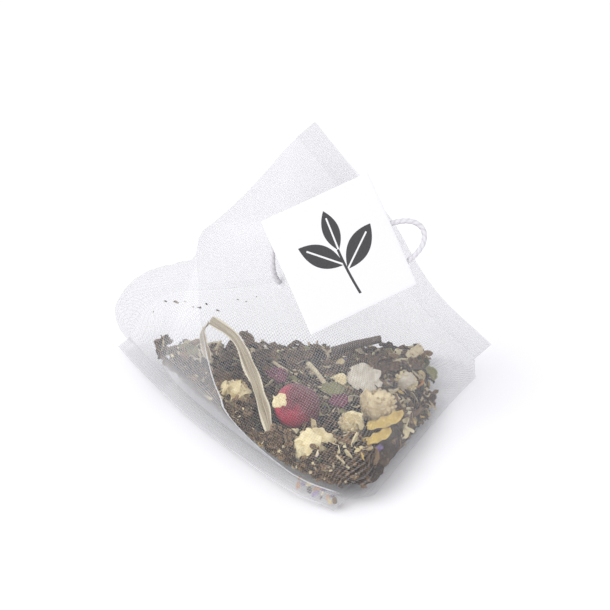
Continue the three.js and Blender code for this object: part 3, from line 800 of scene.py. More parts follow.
def leaf_material(name, dark, light, edge, fine=2.2):
    """Dry leaf: mottled from dark to light by bit and by place, with long fine wrinkles whose
    crests are painted paler in the edge colour, as painted highlight.
    """
    paint = Paint(name, Roughness=0.8, Specular_IOR_Level=0.3)
    mottle = paint.grain(0.7, 4.0, 0.65)
    wrinkle = paint.grain(fine, 5.0, 0.7, at=paint.place((1, 2.4, 1), (0.3, 0.5, 0.8)))
    body = paint.mix((paint.shade() * 0.75 + mottle * 0.5 - 0.15).step(0.0, 1.0), dark, light)
    # Painted highlight: the crests of the wrinkles take the pale edge colour.
    painted_crest_highlight = (wrinkle - 0.55).step(0.0, 0.2) * 0.6
    return paint.surface(Base_Color=paint.mix(painted_crest_highlight, body, edge),
                         Roughness=0.9 - mottle * 0.3, Normal=paint.bump(wrinkle, 0.25, 0.8))


def petal_material(name, deep, pale, vein, veins=3.0, turn=(0, 0, 0)):
    """Dry petal: clouded colour, thin veins and browned spots."""
    paint = Paint(name, Roughness=0.7)
    cloud = paint.grain(0.5, 3.0, 0.6)
    lines = paint.grain(veins, 2.0, 0.5, at=paint.place((0.35, 2.0, 1), turn))
    browned = (paint.grain(0.9, 2.0) - 0.62).step(0.0, 0.12)
    body = paint.mix((cloud * 1.4 + paint.shade() * 0.5 - 0.45).step(0.0, 1.0), deep, pale)
    body = paint.mix((lines - 0.5).step(0.0, 0.18) * 0.55, body, vein)
    body = paint.mix(browned * 0.35, body, (0.32, 0.22, 0.12))
    return paint.surface(Base_Color=body, Roughness=0.85 - cloud * 0.3,
                         Normal=paint.bump(lines + cloud * 0.5, 0.2, 0.7))


def blade_material():
    """Dried grass blade: fibres run its length, and its two edges are pale."""
    paint = Paint("grass_blade", Roughness=0.7)
    along, across = paint.uv()
    combine = paint.node("CombineXYZ", {}, {0: along * 2.0, 1: across * 14.0})
    fibres = paint.grain(1.0, 4.0, 0.6, at=combine.outputs[0])
    edge = abs(across - 0.5).step(0.34, 0.44)
    body = paint.mix((fibres - 0.3).step(0.0, 0.4), (0.24, 0.19, 0.12), (0.60, 0.52, 0.37))
    body = paint.mix(edge, body, (0.76, 0.69, 0.53))
    return paint.surface(Base_Color=body, Normal=paint.bump(fibres, 0.2, 0.6))


def berry_material():
    """Dried berry skin: bright crimson low on the left, dark and bloomed above."""
    paint = Paint("berry_skin", Roughness=0.5)
    low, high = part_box("red_berry")
    x, _, z = paint.split(paint.node("TexCoord", {}, {}).outputs["Object"])
    rise = (x - low.x) / (high.x - low.x) * 0.7 + (z - low.z) / (high.z - low.z) * 0.5
    cloud = paint.grain(0.5, 4.0, 0.6)
    dark = (rise + (cloud - 0.5) * 0.8).step(0.3, 0.85)
    skin = paint.mix(dark, (0.62, 0.03, 0.085), (0.15, 0.028, 0.04))
    bloom = (paint.grain(1.6, 4.0, 0.7) - 0.55).step(0.0, 0.2) * dark * 0.5
    skin = paint.mix(bloom, skin, (0.34, 0.20, 0.19))
    wrinkle = paint.grain(1.3, 4.0, 0.6)
    return paint.surface(Base_Color=skin, Roughness=0.38 + cloud * 0.3,
                         Normal=paint.bump(wrinkle, 0.35, 0.8))


def bark_material():
    paint = Paint("bark", Roughness=0.85)
    lines = paint.grain(2.4, 5.0, 0.7, at=paint.place((0.3, 2.0, 2.0), (0, 0, 0.3)))
    lichen = (paint.grain(0.6, 3.0) - 0.55).step(0.0, 0.2)
    bark = paint.mix(lines, (0.05, 0.035, 0.028), (0.20, 0.155, 0.12))
    bark = paint.mix(lichen * 0.4, bark, (0.38, 0.34, 0.29))
    return paint.surface(Base_Color=bark, Normal=paint.bump(lines, 0.3, 0.9))


# The last colour of a leaf finish is the painted highlight on the crests of its wrinkles.
TEA = leaf_material("dry_tea_leaf", (0.024, 0.013, 0.006), (0.29, 0.185, 0.095),
                    (0.54, 0.40, 0.23))
GREEN = leaf_material("dry_green_leaf", (0.10, 0.10, 0.035), (0.40, 0.38, 0.18),
                      (0.52, 0.52, 0.30))
CREAM = petal_material("cream_petal", (0.55, 0.42, 0.18), (0.93, 0.82, 0.50), (0.96, 0.90, 0.68))
STRAW = petal_material("straw_floret", (0.34, 0.23, 0.10), (0.92, 0.78, 0.47),
                       (0.97, 0.89, 0.66))
PALE = petal_material("pale_petal", (0.50, 0.42, 0.30), (0.80, 0.75, 0.64), (0.88, 0.85, 0.78))
YELLOW = petal_material("yellow_petal", (0.42, 0.24, 0.04), (0.80, 0.59, 0.17),
                        (0.96, 0.84, 0.42), 4.0)
PURPLE = petal_material("purple_petal", (0.05, 0.025, 0.10), (0.24, 0.15, 0.36),
                        (0.55, 0.45, 0.62))
WINE = petal_material("hibiscus_petal", (0.05, 0.010, 0.022), (0.20, 0.035, 0.075),
                      (0.33, 0.10, 0.15))
PEEL = petal_material("orange_peel", (0.30, 0.11, 0.02), (0.66, 0.30, 0.07), (0.82, 0.55, 0.25))
STALK = petal_material("dry_stalk", (0.40, 0.30, 0.15), (0.80, 0.70, 0.47), (0.94, 0.88, 0.70),
                       5.0, (0, 0, 1.9))
BLADE = blade_material()
BERRY = berry_material()
BARK = bark_material()


# ---- dried plants: shapes ----

def select_points(obj, mesh, wanted):
    """In edit mode, selects the points of obj whose place is wanted."""
    for vertex in mesh.verts:
        vertex.select_set(wanted(vertex.co))
    mesh.select_flush_mode()
    bmesh.update_edit_mesh(obj.data)


def blank(length, width, rows, columns, tip, root):
    """A flat blank along +X from the origin, drawn in at its root and tip."""
    obj = added(bpy.ops.mesh.primitive_grid_add, x_subdivisions=rows, y_subdivisions=columns,
                size=1)
    obj.scale = (length, width, 1)
    obj.location.x = length / 2
    bpy.ops.object.transform_apply(location=True, scale=True)
    bpy.ops.object.mode_set(mode="EDIT")
    mesh = bmesh.from_edit_mesh(obj.data)
    for row in range(rows + 1):
        x = row / rows
        share = math.sin(math.pi * x) ** 0.55
        full = root + (tip - root) * x
        select_points(obj, mesh, lambda at: abs(at.x - x * length) < length / rows / 3)
        bpy.ops.transform.resize(value=(1, full + (1 - full) * share, 1),
                                 center_override=(0, 0, 0))
    bpy.ops.object.mode_set(mode="OBJECT")
    return obj


def thicken(obj, thickness):
    modify(obj, "SOLIDIFY", thickness=thickness * MM, offset=0)
    modify(obj, "SUBSURF", levels=1, render_levels=1)
    smooth(obj, 60)


def curl(obj, twist=0.0, bend=0.0, cup=0.0):
    """Cups a blank side to side, bends its end up and twists it, in degrees."""
    if cup:
        bent(obj, Matrix.Rotation(math.pi / 2, 4, "X"), "X", cup)
    if bend:
        bent(obj, Matrix.Rotation(-math.pi / 2, 4, "Y"), "Y", bend)
    if twist:
        modify(obj, "SIMPLE_DEFORM", deform_method="TWIST", deform_axis="X",
               angle=math.radians(twist))


def lay_along(obj, places, tilt):
    """Bends a blank to lie along a line through the places, turned about it by tilt degrees."""
    line = bpy.data.curves.new("spine", "CURVE")
    line.dimensions = "3D"
    line.twist_mode = "Z_UP"
    line.use_stretch = True
    line.use_deform_bounds = True
    spline = line.splines.new("BEZIER")
    spline.bezier_points.add(len(places) - 1)
    for knot, place in zip(spline.bezier_points, places):
        knot.co = place
        knot.handle_left_type = knot.handle_right_type = "AUTO"
        knot.tilt = math.radians(tilt)
    rail = link(bpy.data.objects.new("spine", line))
    modify(obj, "CURVE", object=rail, deform_axis="POS_X")
    drop(rail)
    bpy.data.curves.remove(line)


def span(places):
    return sum((b - a).length for a, b in zip(places, places[1:]))


def dried_strip(name, node, slot, material, spine, width, thick, tilt, cup, crease, tip=0.3,
                root=0.5):
    """A petal, leaf or blade that lies along its spine."""
    places = [spot(*place) for place in spine]
    piece = blank(span(places), width * MM, 14, 6, tip, root)
    curl(piece, cup=cup)
    lay_along(piece, places, tilt)
    ragged(piece, width * 0.13, len(name))
    crumple(piece, crease, 1.3)
    thicken(piece, thick)
    keep_inside(piece)
    tone(piece, 0.6)
    piece.name = name
    finish_piece(piece, material, [node])


def dried_stick(name, node, slot, material, spine, width, knots=0.12):
    """A stalk or twig: a knobbly rod along its spine, broken square at both ends."""
    places = [spot(*place) for place in spine]
    length = span(places)
    stick = added(bpy.ops.mesh.primitive_cylinder_add, vertices=10, radius=width / 2 * MM,
                  depth=length, location=(length / 2, 0, 0), rotation=(0, math.pi / 2, 0))
    bpy.ops.object.transform_apply(location=True, rotation=True)
    bpy.ops.object.mode_set(mode="EDIT")
    mesh = bmesh.from_edit_mesh(stick.data)
    ends = [f for f in mesh.faces if abs(f.normal.x) > 0.9]
    for face in mesh.faces:
        face.select_set(face in ends)
    bmesh.update_edit_mesh(stick.data)
    bpy.ops.mesh.inset(thickness=width * 0.12 * MM, depth=-width * 0.1 * MM)
    bpy.ops.mesh.select_all(action="SELECT")
    bpy.ops.mesh.subdivide(number_cuts=3)
    bpy.ops.object.mode_set(mode="OBJECT")
    lay_along(stick, places, 0)
    crumple(stick, knots * width * 2, 1.1, 3)
    smooth(stick, 50)
    keep_inside(stick)
    tone(stick, 0.5)
    stick.name = name
    finish_piece(stick, material, [node])


DOME = 0.74                 # width of a flower's dome, as a share of the whole head
DOME_RISE = 0.62            # and its height
FLORET_REACH = 1.15         # how far down its sides the florets go
GOLDEN_ANGLE = 2.39996


def flower_head(name, node, slot, petal_finish, floret_finish, radius, height, lean, petals,
                florets, seed, reach=1.0):
    """A dried flower: a dome of small florets, with shrunken petals folded in round it."""
    pick_from = random.Random(seed)
    dome = added(bpy.ops.mesh.primitive_uv_sphere_add, segments=28, ring_count=18,
                 radius=radius * DOME * MM)
    dome.scale = (1, 1, DOME_RISE * height / radius)
    bpy.ops.object.transform_apply(scale=True)
    crumple(dome, 0.5, 1.1)
    smooth(dome, 60)
    # The dome takes the deepest shade of its finish, as painted shade in the gaps between the
    # florets.
    tone(dome, 0)
    dome.data.materials.append(floret_finish)

    floret = added(bpy.ops.mesh.primitive_cone_add, vertices=5, radius1=0.42 * MM,
                   radius2=0.26 * MM, depth=0.9 * MM)
    floret.data.materials.append(floret_finish)
    parts = [dome]
    half = 0.46 * height * MM
    for k in range(florets):
        turn = k * GOLDEN_ANGLE
        rise = 1 - FLORET_REACH * (k + 0.5) / florets
        out = math.sqrt(max(1 - rise * rise, 0))
        way = Vector((out * math.cos(turn), out * math.sin(turn), rise))
        seat = Vector((way.x * radius * DOME * MM, way.y * radius * DOME * MM, way.z * half))
        size = pick_from.uniform(0.75, 1.25)
        matrix = (Matrix.Translation(seat) @ way.to_track_quat("Z", "X").to_matrix().to_4x4()
                  @ Matrix.Rotation(pick_from.uniform(-0.4, 0.4), 4, "X")
                  @ Matrix.Scale(size, 4))
        parts.append(copy_of(floret, matrix, pick_from.random()))
    drop(floret)

    for k in range(petals):
        outer = k % 2
        size = pick_from.uniform(0.9, 1.15) * (0.8 + 0.3 * outer) * reach
        petal = blank(radius * 1.5 * size * MM, radius * 0.8 * MM, 8, 4, 0.8, 0.6)
        petal.data.materials.append(petal_finish)
        curl(petal, twist=pick_from.uniform(-25, 25), cup=pick_from.uniform(30, 80),
             bend=pick_from.uniform(95, 130))
        ragged(petal, radius * 0.08, k)
        crumple(petal, 0.7, 1.0)
        thicken(petal, 0.14)
        tone(petal, pick_from.random())
        turn = 2 * math.pi * k / petals + pick_from.uniform(-0.25, 0.25)
        petal.data.transform(
            Matrix.Rotation(turn, 4, "Z")
            @ Matrix.Translation((radius * (0.45 + 0.25 * outer) * MM, 0,
                                  -half * pick_from.uniform(0.2, 0.5)))
            @ Matrix.Rotation(-pick_from.uniform(1.15, 1.4), 4, "Y")
            @ Matrix.Rotation(pick_from.uniform(-0.3, 0.3), 4, "X"))
        parts.append(petal)
    head = join(name, parts)
    low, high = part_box(node)
    middle = (low + high) / 2
    tilt = (Matrix.Rotation(lean[0], 4, "X") @ Matrix.Rotation(lean[1], 4, "Y")
            @ Matrix.Rotation(lean[2], 4, "Z"))
    head.data.transform(Matrix.Translation(middle) @ tilt)
    keep_inside(head)
    finish_piece(head, None, [node])


BERRY_RADIUS = 4.25
BERRY_PRESSES = ((1.9, -0.35), (1.2, -0.5), (0.7, -0.4))    # width and depth, at its crown


def make_berry():
    berry = added(bpy.ops.mesh.primitive_uv_sphere_add, segments=64, ring_count=40,
                  radius=BERRY_RADIUS * MM)
    bpy.ops.object.mode_set(mode="EDIT")
    mesh = bmesh.from_edit_mesh(berry.data)
    for reach, press in BERRY_PRESSES:
        select_points(berry, mesh, lambda at: at.z > 0 and math.hypot(at.x, at.y) < reach * MM)
        bpy.ops.transform.translate(value=(0, 0, press * MM))
    bpy.ops.object.mode_set(mode="OBJECT")
    crumple(berry, 0.75, 2.6, 1)
    crumple(berry, 0.22, 0.7)
    smooth(berry, 60)
    low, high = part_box("red_berry")
    lean = Matrix.Rotation(0.9, 4, "X") @ Matrix.Rotation(-0.5, 4, "Z")
    berry.data.transform(Matrix.Translation((low + high) / 2) @ lean)
    keep_inside(berry)
    berry.name = "dried_berry"
    finish_piece(berry, BERRY, ["red_berry"])


make_berry()

# Name, CAD node, slot, finishes of petals and florets, radius, height, lean, number of petals and
# of florets, seed, and how far the petals reach.
FLOWER_HEADS = [
    ("large_chamomile", "chamomile_head_1", "cream_petal", CREAM, CREAM, 4.3, 7.0,
     (0.7, 0.3, 0), 13, 50, 3),
    ("gold_chamomile", "chamomile_head_2", "straw_stalk", STRAW, STRAW, 4.0, 6.2,
     (0.8, -0.2, 0.3), 15, 60, 5, 0.95),
    ("small_chamomile", "chamomile_head_3", "straw_stalk", CREAM, STRAW, 2.8, 4.4,
     (0.5, 0.4, 0), 11, 50, 7, 1.0),
    ("left_chamomile", "chamomile_head_4", "cream_petal", CREAM, STRAW, 3.5, 5.4,
     (0.8, -0.4, 0), 13, 50, 9, 1.0),
    ("chamomile_bud_head", "chamomile_bud", "green_leaf", GREEN, STRAW, 1.8, 3.2,
     (0.6, 0, 0.2), 7, 40, 11),
    ("pale_flower", "apple_piece", "pale_petal", PALE, CREAM, 2.7, 4.2,
     (0.7, 0.3, 0), 9, 40, 13),
]
for head in FLOWER_HEADS:
    flower_head(*head)

dried_strip("folded_blade", "lemongrass_blade", "straw_stalk", BLADE,
            [(-17.6, 10.6, 15.6), (-13.2, 7.4, 14.2), (-9.8, -0.6, 11.8), (-7.6, -8.4, 10.2),
             (-6.4, -14.6, 9.2), (-5.8, -17, 8.4)], 2.6, 0.2, 25, 120, 0.3, 0.5, 0.9)
dried_strip("blade_loop", "lemongrass_fold", "straw_stalk", BLADE,
            [(-17.8, 10.4, 15.3), (-18.9, 9.6, 13.6), (-18.6, 8.2, 11.6), (-17.6, 6, 9.6)],
            1.8, 0.2, 40, 90, 0.2, 0.6, 0.9)

# Name, CAD node, slot, finish, spine, width and how knobbly it is.
STICKS = [
    ("dark_twig", "twig", "tea_leaf", BARK,
     [(5.6, 15.8, 5.6), (10, 17, 6.2), (15.2, 17.6, 7.2)], 1.6, 0.16),
    ("straw_stalk_long", "stalk_1", "straw_stalk", STALK,
     [(1, 7.4, 8), (2.6, 3.6, 8.4), (4.4, -1.4, 8.6)], 0.9),
    ("pale_stalk", "stalk_2", "pale_petal", STALK,
     [(-5.6, 11, 6), (-4.4, 8.6, 6.5), (-3, 6.8, 6.7)], 0.6),
    ("straw_stalk_short", "stalk_3", "straw_stalk", STALK,
     [(6.5, 4.6, 7.2), (8.2, 7.2, 6.6), (10.4, 8.8, 6.2)], 0.7),
]
for stick in STICKS:
    dried_stick(*stick)

# Name, CAD node, slot, finish, spine, width, thickness, tilt, cup and depth of wrinkles.
STRIPS = [
    ("broad_pale_petal", "pale_petal_1", "pale_petal", PALE,
     [(8.6, 1, 9.8), (11.4, -0.2, 9.4), (14.6, -0.8, 9.2)], 5, 0.18, 40, 50, 0.9),
    ("left_pale_petal", "pale_petal_2", "pale_petal", PALE,
     [(-23.4, 10.8, 5.9), (-21.6, 10, 6.2), (-20, 9.4, 6.1)], 3.6, 0.15, 35, 50, 0.9),
    ("low_pale_petal", "pale_petal_3", "pale_petal", PALE,
     [(-23.3, 8.4, 5.4), (-21.9, 6.8, 5.8), (-20.7, 5.2, 5.6)], 3, 0.15, 35, 50, 0.8),
    ("left_cream_petal", "cream_petal", "cream_petal", CREAM,
     [(-17.4, -0.9, 8.2), (-16.6, -2.7, 7.7), (-15.8, -4, 7)], 2.8, 0.15, 35, 60, 0.7),
    ("flake_on_berry", "berry_flake", "pale_petal", CREAM,
     [(-5.4, -13.6, 13), (-4.4, -14, 13.4), (-3, -14.4, 13.8)], 2.3, 0.15, 55, 20, 0.5,
     0.8, 0.8),
    ("bent_yellow_petal", "yellow_petal", "yellow_petal", YELLOW,
     [(-8.2, -16.4, 5.8), (-5.8, -17, 7.4), (-2.2, -17, 8.4)], 3.0, 0.15, 40, 60, 0.4),
    ("upper_yellow_strip", "yellow_strip_1", "yellow_petal", YELLOW,
     [(11.6, -16.6, 9.6), (15, -14.6, 9.2), (18.4, -10.8, 9)], 2.1, 0.15, 50, 60, 0.4),
    ("lower_yellow_strip", "yellow_strip_2", "yellow_petal", YELLOW,
     [(10.8, -21.4, 9.2), (13.2, -19.6, 9.1), (16, -16.6, 9)], 1.9, 0.15, 50, 60, 0.4),
    ("purple_petal_left", "purple_petal_1", "purple_petal", PURPLE,
     [(9.2, -24.6, 6.4), (10.6, -24.2, 7), (12, -23, 7.4)], 2.2, 0.15, 45, 50, 0.6),
    ("purple_petal_right", "purple_petal_2", "purple_petal", PURPLE,
     [(13, -21.4, 7), (13.9, -20.6, 7.8), (14.4, -19.9, 7.4)], 1.1, 0.15, 45, 50, 0.4),
    ("upper_hibiscus", "hibiscus_piece_1", "hibiscus", WINE,
     [(-6.2, 4.6, 8.2), (-4.8, 2.4, 8.6), (-3.8, 0, 8.4)], 3.2, 0.3, 20, 70, 1.0),
    ("lower_hibiscus", "hibiscus_piece_2", "hibiscus", WINE,
     [(5.2, -7.4, 9.4), (6.6, -8.2, 9.6), (8, -9.6, 9.6)], 2.8, 0.3, 30, 70, 1.0),
    ("curl_of_peel", "orange_peel", "orange_peel", PEEL,
     [(22.6, 7.4, 4), (22.5, 6, 4.2), (21.9, 4.6, 4.4)], 1.6, 0.4, 30, 80, 0.4),
    ("left_green_leaf", "green_leaf_1", "green_leaf", GREEN,
     [(-26.4, 16.4, 4.8), (-23.2, 16.2, 5.6), (-20.4, 16.4, 5.2)], 2.6, 0.15, 40, 120, 1.1),
    ("right_green_leaf", "green_leaf_2", "green_leaf", GREEN,
     [(23.8, 13.4, 3.2), (25, 11.6, 3.2), (25.4, 9.4, 3)], 1.7, 0.15, 20, 60, 0.5),
    ("middle_green_leaf", "green_leaf_3", "green_leaf", GREEN,
     [(3.6, -2.8, 9.2), (5.6, -3.6, 9.4), (7.8, -3.6, 9)], 2.6, 0.15, 40, 60, 0.7),
    ("yellow_flower_bud", "yellow_bud", "yellow_petal", STALK,
     [(20.2, 14.6, 5), (21.8, 15.2, 5.6), (23.2, 15.8, 6.4)], 2.2, 0.4, 40, 90, 0.6),
    ("cream_flower_bit", "flower_bit", "cream_petal", CREAM,
     [(5.8, 1.6, 8.4), (7, 0.2, 9), (7.4, -1.4, 8.8)], 2.4, 0.4, 0, 110, 0.8),
]
for strip in STRIPS:
    dried_strip(*strip)

TEA_CURLS = [
    [(-28.6, 19.6, 3.6), (-27.2, 19.8, 4.8), (-25.8, 20, 5.6)],
    [(-12, 18.4, 3.8), (-11.2, 18.6, 5.8), (-12.2, 18.6, 7.8)],
    [(-8.6, 13.4, 4.9), (-6.8, 14, 5.7), (-4.8, 14.2, 5.9)],
    [(-2.4, 12.4, 5.1), (-0.2, 13.4, 5.9), (2.2, 13.6, 5.5)],
    [(-16, 12, 5), (-14.4, 14.4, 5.4), (-12.6, 15.4, 5)],
    [(14.2, 5.4, 6.8), (16.4, 6.8, 7), (18.6, 7.4, 6.6)],
    [(-16.4, 4, 8), (-14.8, 1.8, 8.4), (-13.6, -0.4, 8.2)],
    [(-9.4, 3, 7.6), (-10.6, 5.4, 7.2), (-11.6, 8.2, 6.6)],
]
for number, spine in enumerate(TEA_CURLS, 1):
    dried_strip(f"large_tea_leaf_{number}", f"tea_curl_{number}", "tea_leaf", TEA, spine, 4.2,
                0.25, tilt=20 + 15 * (number % 3), cup=280, crease=0.9)


# ---- the loose tea ----

def heap_core():
    """The dark body of the heap, under the loose bits."""
    core = link(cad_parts["tea_leaf_bed"].copy())
    core.data = core.data.copy()
    core.parent = None
    for key in list(core.keys()):
        del core[key]
    core.hide_render = core.hide_viewport = False
    modify(core, "WELD", merge_threshold=0.01 * MM)
    modify(core, "REMESH", mode="VOXEL", voxel_size=0.55 * MM)
    modify(core, "SMOOTH", factor=0.5, iterations=4)
    crumple(core, 1.2, 2.2)
    crumple(core, 0.6, 0.7, 1)
    smooth(core, 50)
    keep_inside(core)
    tone(core, 0.1)
    core.name = "tea_heap"
    finish_piece(core, TEA, ["tea_leaf_bed"])


def with_normals(corners):
    """Triangles as corners, outward normals and sizes."""
    cross = np.cross(corners[:, 1] - corners[:, 0], corners[:, 2] - corners[:, 0])
    size = np.linalg.norm(cross, axis=1)
    return corners, cross / np.maximum(size, 1e-12)[:, None], size


def heap_surface():
    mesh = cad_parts["tea_leaf_bed"].data
    mesh.calc_loop_triangles()
    return with_normals(np.array([[tuple(mesh.vertices[i].co) for i in t.vertices]
                                  for t in mesh.loop_triangles]))


def seal_wedge(inset, rows, columns):
    """Triangles just inside the mesh along the floor seal."""
    inner = (WALL_GRID - inset * outward(WALL_GRID))[slice(*rows), slice(*columns)]
    points = in_frame(inner)
    faces = grid_faces(*inner.shape[:2])
    return with_normals(np.array([points[list(face[:3])] for face in faces]
                                 + [points[[face[0], face[2], face[3]]] for face in faces]))


HEAP = heap_surface()
HEAP_TOP = (*HEAP[:2], HEAP[2] * (HEAP[1][:, 2] > 0.5))
WEDGE = seal_wedge(0.9, (2, 10), (16, 68))
TEA_BY_SEAL = seal_wedge(0.75, (2, 7), (34, 69))
STRAW_BY_SEAL = seal_wedge(0.7, (2, 7), (34, 69))


def shown_pieces():
    """Balls round the large pieces, as centre and radius, that no bit covers."""
    balls = [(spot(-7.2, -10, 10), 3.0 * MM), (spot(-6.2, -14.4, 9.4), 3.2 * MM)]
    for node in ["red_berry", "chamomile_head_1", "chamomile_head_2", "chamomile_head_3",
                 "chamomile_head_4", "apple_piece", "yellow_strip_1", "yellow_strip_2"]:
        low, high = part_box(node)
        balls.append(((low + high) / 2, max(high - low) / 2 + 0.9 * MM))
    return balls


def bit(length, width, thick, twist, bend, cup, wrinkle, tip=0.3, rows=6):
    piece = blank(length * MM, width * MM, rows, 2, tip, 0.45)
    curl(piece, twist, bend, cup)
    crumple(piece, wrinkle, 0.9, 1)
    modify(piece, "SOLIDIFY", thickness=thick * MM, offset=0)
    smooth(piece, 60)
    bpy.ops.object.origin_set(type="ORIGIN_GEOMETRY", center="BOUNDS")
    piece.location = (0, 0, 0)
    return piece


def scatter(name, slot, material, kinds, count, seed, upright, lift, over):
    """Lays count bits over triangles, each turned its own way and kept inside the mesh."""
    kinds = [bit(*kind) for kind in kinds]
    chance = random.Random(seed)
    corners, normals, sizes = over
    reach = np.cumsum(sizes) / sizes.sum()
    parts = []
    tries = 0
    while len(parts) < count and tries < count * TRIES_EACH:
        tries += 1
        k = min(int(np.searchsorted(reach, chance.random())), len(reach) - 1)
        a, b = chance.random(), chance.random()
        if a + b > 1:
            a, b = 1 - a, 1 - b
        place = Vector(corners[k][0] * (1 - a - b) + corners[k][1] * a + corners[k][2] * b)
        normal = Vector(normals[k])
        lie = normal.to_track_quat("Z", "Y").to_matrix().to_4x4()
        turn = Matrix.Rotation(chance.uniform(0, 2 * math.pi), 4, "Z")
        rise = Matrix.Rotation(chance.gauss(0, upright), 4, "Y")
        roll = Matrix.Rotation(chance.uniform(-1.2, 1.2), 4, "X")
        size = Matrix.Scale(chance.uniform(0.65, 1.3), 4)
        kind = kinds[chance.randrange(len(kinds))]
        place += normal * chance.uniform(-0.5, lift) * MM
        matrix = Matrix.Translation(place) @ lie @ turn @ rise @ roll @ size
        if any((place - middle).length < ball for middle, ball in SHOWN):
            continue
        ends = [matrix @ Vector(corner) for corner in kind.bound_box]
        if min(depth_inside(end)[0] for end in ends) < BIT_ROOM:
            continue
        parts.append(copy_of(kind, matrix, chance.random() ** 1.2))
    drop(*kinds)
    finish_piece(join(name, parts), material)


heap_core()
SHOWN = shown_pieces()
TRIES_EACH = 6              # at finding a free place for a bit

# Name, slot, finish, kinds of bit, their number, seed, how far they stand up, how far they lie
# off the triangles, and the triangles. A kind is length, width, thickness, twist, bend, cup,
# depth of wrinkles, and for some how full its tip is and its number of rows.
SCATTERED = [
    ("tea_leaf_bits", "tea_leaf", TEA,
     [(3.6, 1.3, 0.16, 160, 40, 120, 0.7), (4.6, 1.5, 0.18, -220, 70, 160, 0.8),
      (2.8, 1.6, 0.15, 60, -60, 90, 0.9), (3.2, 1.1, 0.2, 260, 30, 180, 0.6),
      (2.2, 1.7, 0.14, 40, 50, 60, 0.8), (5.2, 1.2, 0.18, -120, 60, 200, 0.7)],
     1150, 21, 0.35, 0.9, HEAP_TOP),
    ("tea_leaf_bits_below", "tea_leaf", TEA,
     [(3.4, 1.4, 0.16, 120, 50, 90, 0.6), (2.6, 1.5, 0.15, -60, 40, 60, 0.6),
      (4.2, 1.2, 0.16, 200, 40, 120, 0.6)], 700, 22, 0.12, 0.5, HEAP),
    ("stalk_bits", "straw_stalk", STALK,
     [(4.5, 0.45, 0.3, 30, 20, 0, 0.2, 0.8, 4), (3, 0.6, 0.3, 0, -25, 0, 0.2, 0.8, 4),
      (2.2, 0.5, 0.25, 40, 10, 0, 0.2, 0.8, 4)], 190, 23, 0.3, 1.1, HEAP_TOP),
    ("cream_petal_bits", "cream_petal", CREAM,
     [(3.0, 1.9, 0.14, 50, 80, 120, 0.6, 0.6), (2.4, 1.6, 0.14, -60, 60, 90, 0.6, 0.5)],
     46, 30, 0.4, 1.3, HEAP_TOP),
    ("broad_straw_bits", "straw_stalk", STALK,
     [(4.6, 1.0, 0.14, 70, 60, 100, 0.4, 0.5), (3.4, 1.5, 0.14, -50, 70, 90, 0.5, 0.4)],
     80, 29, 0.35, 1.1, HEAP_TOP),
    ("green_bits", "green_leaf", GREEN,
     [(2.6, 1.1, 0.12, 60, 60, 80, 0.6), (1.8, 1.0, 0.12, -40, 40, 60, 0.6)],
     180, 24, 0.35, 1.1, HEAP_TOP),
    ("cream_crumbs", "cream_petal", CREAM,
     [(1.7, 0.9, 0.15, 50, 60, 80, 0.5), (1.2, 0.7, 0.2, 20, 40, 60, 0.4),
      (2.2, 0.8, 0.14, -80, 70, 90, 0.5)], 230, 25, 0.4, 1.1, HEAP_TOP),
    ("yellow_crumbs", "yellow_petal", YELLOW,
     [(2.2, 0.7, 0.12, 50, 50, 60, 0.4), (1.4, 0.6, 0.12, -30, 40, 60, 0.3)],
     40, 26, 0.3, 1.1, HEAP_TOP),
    ("purple_crumbs", "purple_petal", PURPLE,
     [(1.8, 0.9, 0.12, 50, 60, 80, 0.5), (1.3, 0.6, 0.12, 20, 40, 60, 0.4)],
     44, 27, 0.35, 1.1, HEAP_TOP),
    ("tea_leaf_bits_by_seal", "tea_leaf", TEA,
     [(2.6, 1.1, 0.14, 120, 40, 90, 0.5), (1.8, 1.2, 0.12, -60, 40, 60, 0.5),
      (1.2, 0.9, 0.12, 40, 40, 60, 0.4)], 620, 41, 0.1, 0.1, WEDGE),
    ("stalk_bits_by_seal", "straw_stalk", STALK,
     [(2.2, 0.45, 0.25, 30, 20, 0, 0.2, 0.8, 4), (1.3, 0.4, 0.2, 0, 15, 0, 0.1, 0.8, 4)],
     28, 42, 0.1, 0.1, WEDGE),
    ("cream_crumbs_by_seal", "cream_petal", CREAM,
     [(1.3, 0.8, 0.12, 30, 40, 50, 0.4), (0.8, 0.6, 0.12, 20, 20, 30, 0.3)],
     34, 43, 0.1, 0.1, WEDGE),
    ("fine_tea_by_seal", "tea_leaf", TEA,
     [(1.3, 0.7, 0.1, 60, 30, 40, 0.2, 0.5, 4), (0.9, 0.7, 0.1, -40, 30, 40, 0.2, 0.5, 4)],
     700, 44, 0.1, 0.1, TEA_BY_SEAL),
    ("fine_straw_by_seal", "straw_stalk", STALK,
     [(1.2, 0.5, 0.1, 60, 30, 40, 0.2, 0.5, 4), (0.7, 0.5, 0.1, -40, 30, 40, 0.2, 0.5, 4)],
     36, 45, 0.1, 0.1, STRAW_BY_SEAL),
]
for bits in SCATTERED:
    scatter(*bits)

# Specks of dust on the inside of the mesh.
SPECKS = [
    (-20.7, 8.1, 20.1), (-19.6, 6.4, 21.0), (-19.2, 5.8, 21.3), (-17.9, 3.8, 23.3),
    (-15.7, 1.6, 23.2), (-11.9, -0.2, 26.6), (-26.2, 13.6, 18.1), (-28.6, 14, 15.5),
    (-10.4, -1.7, 27.1), (-24, 11.4, 19.2), (-8.4, -3.2, 29), (-22.2, 9.6, 20.4),
]
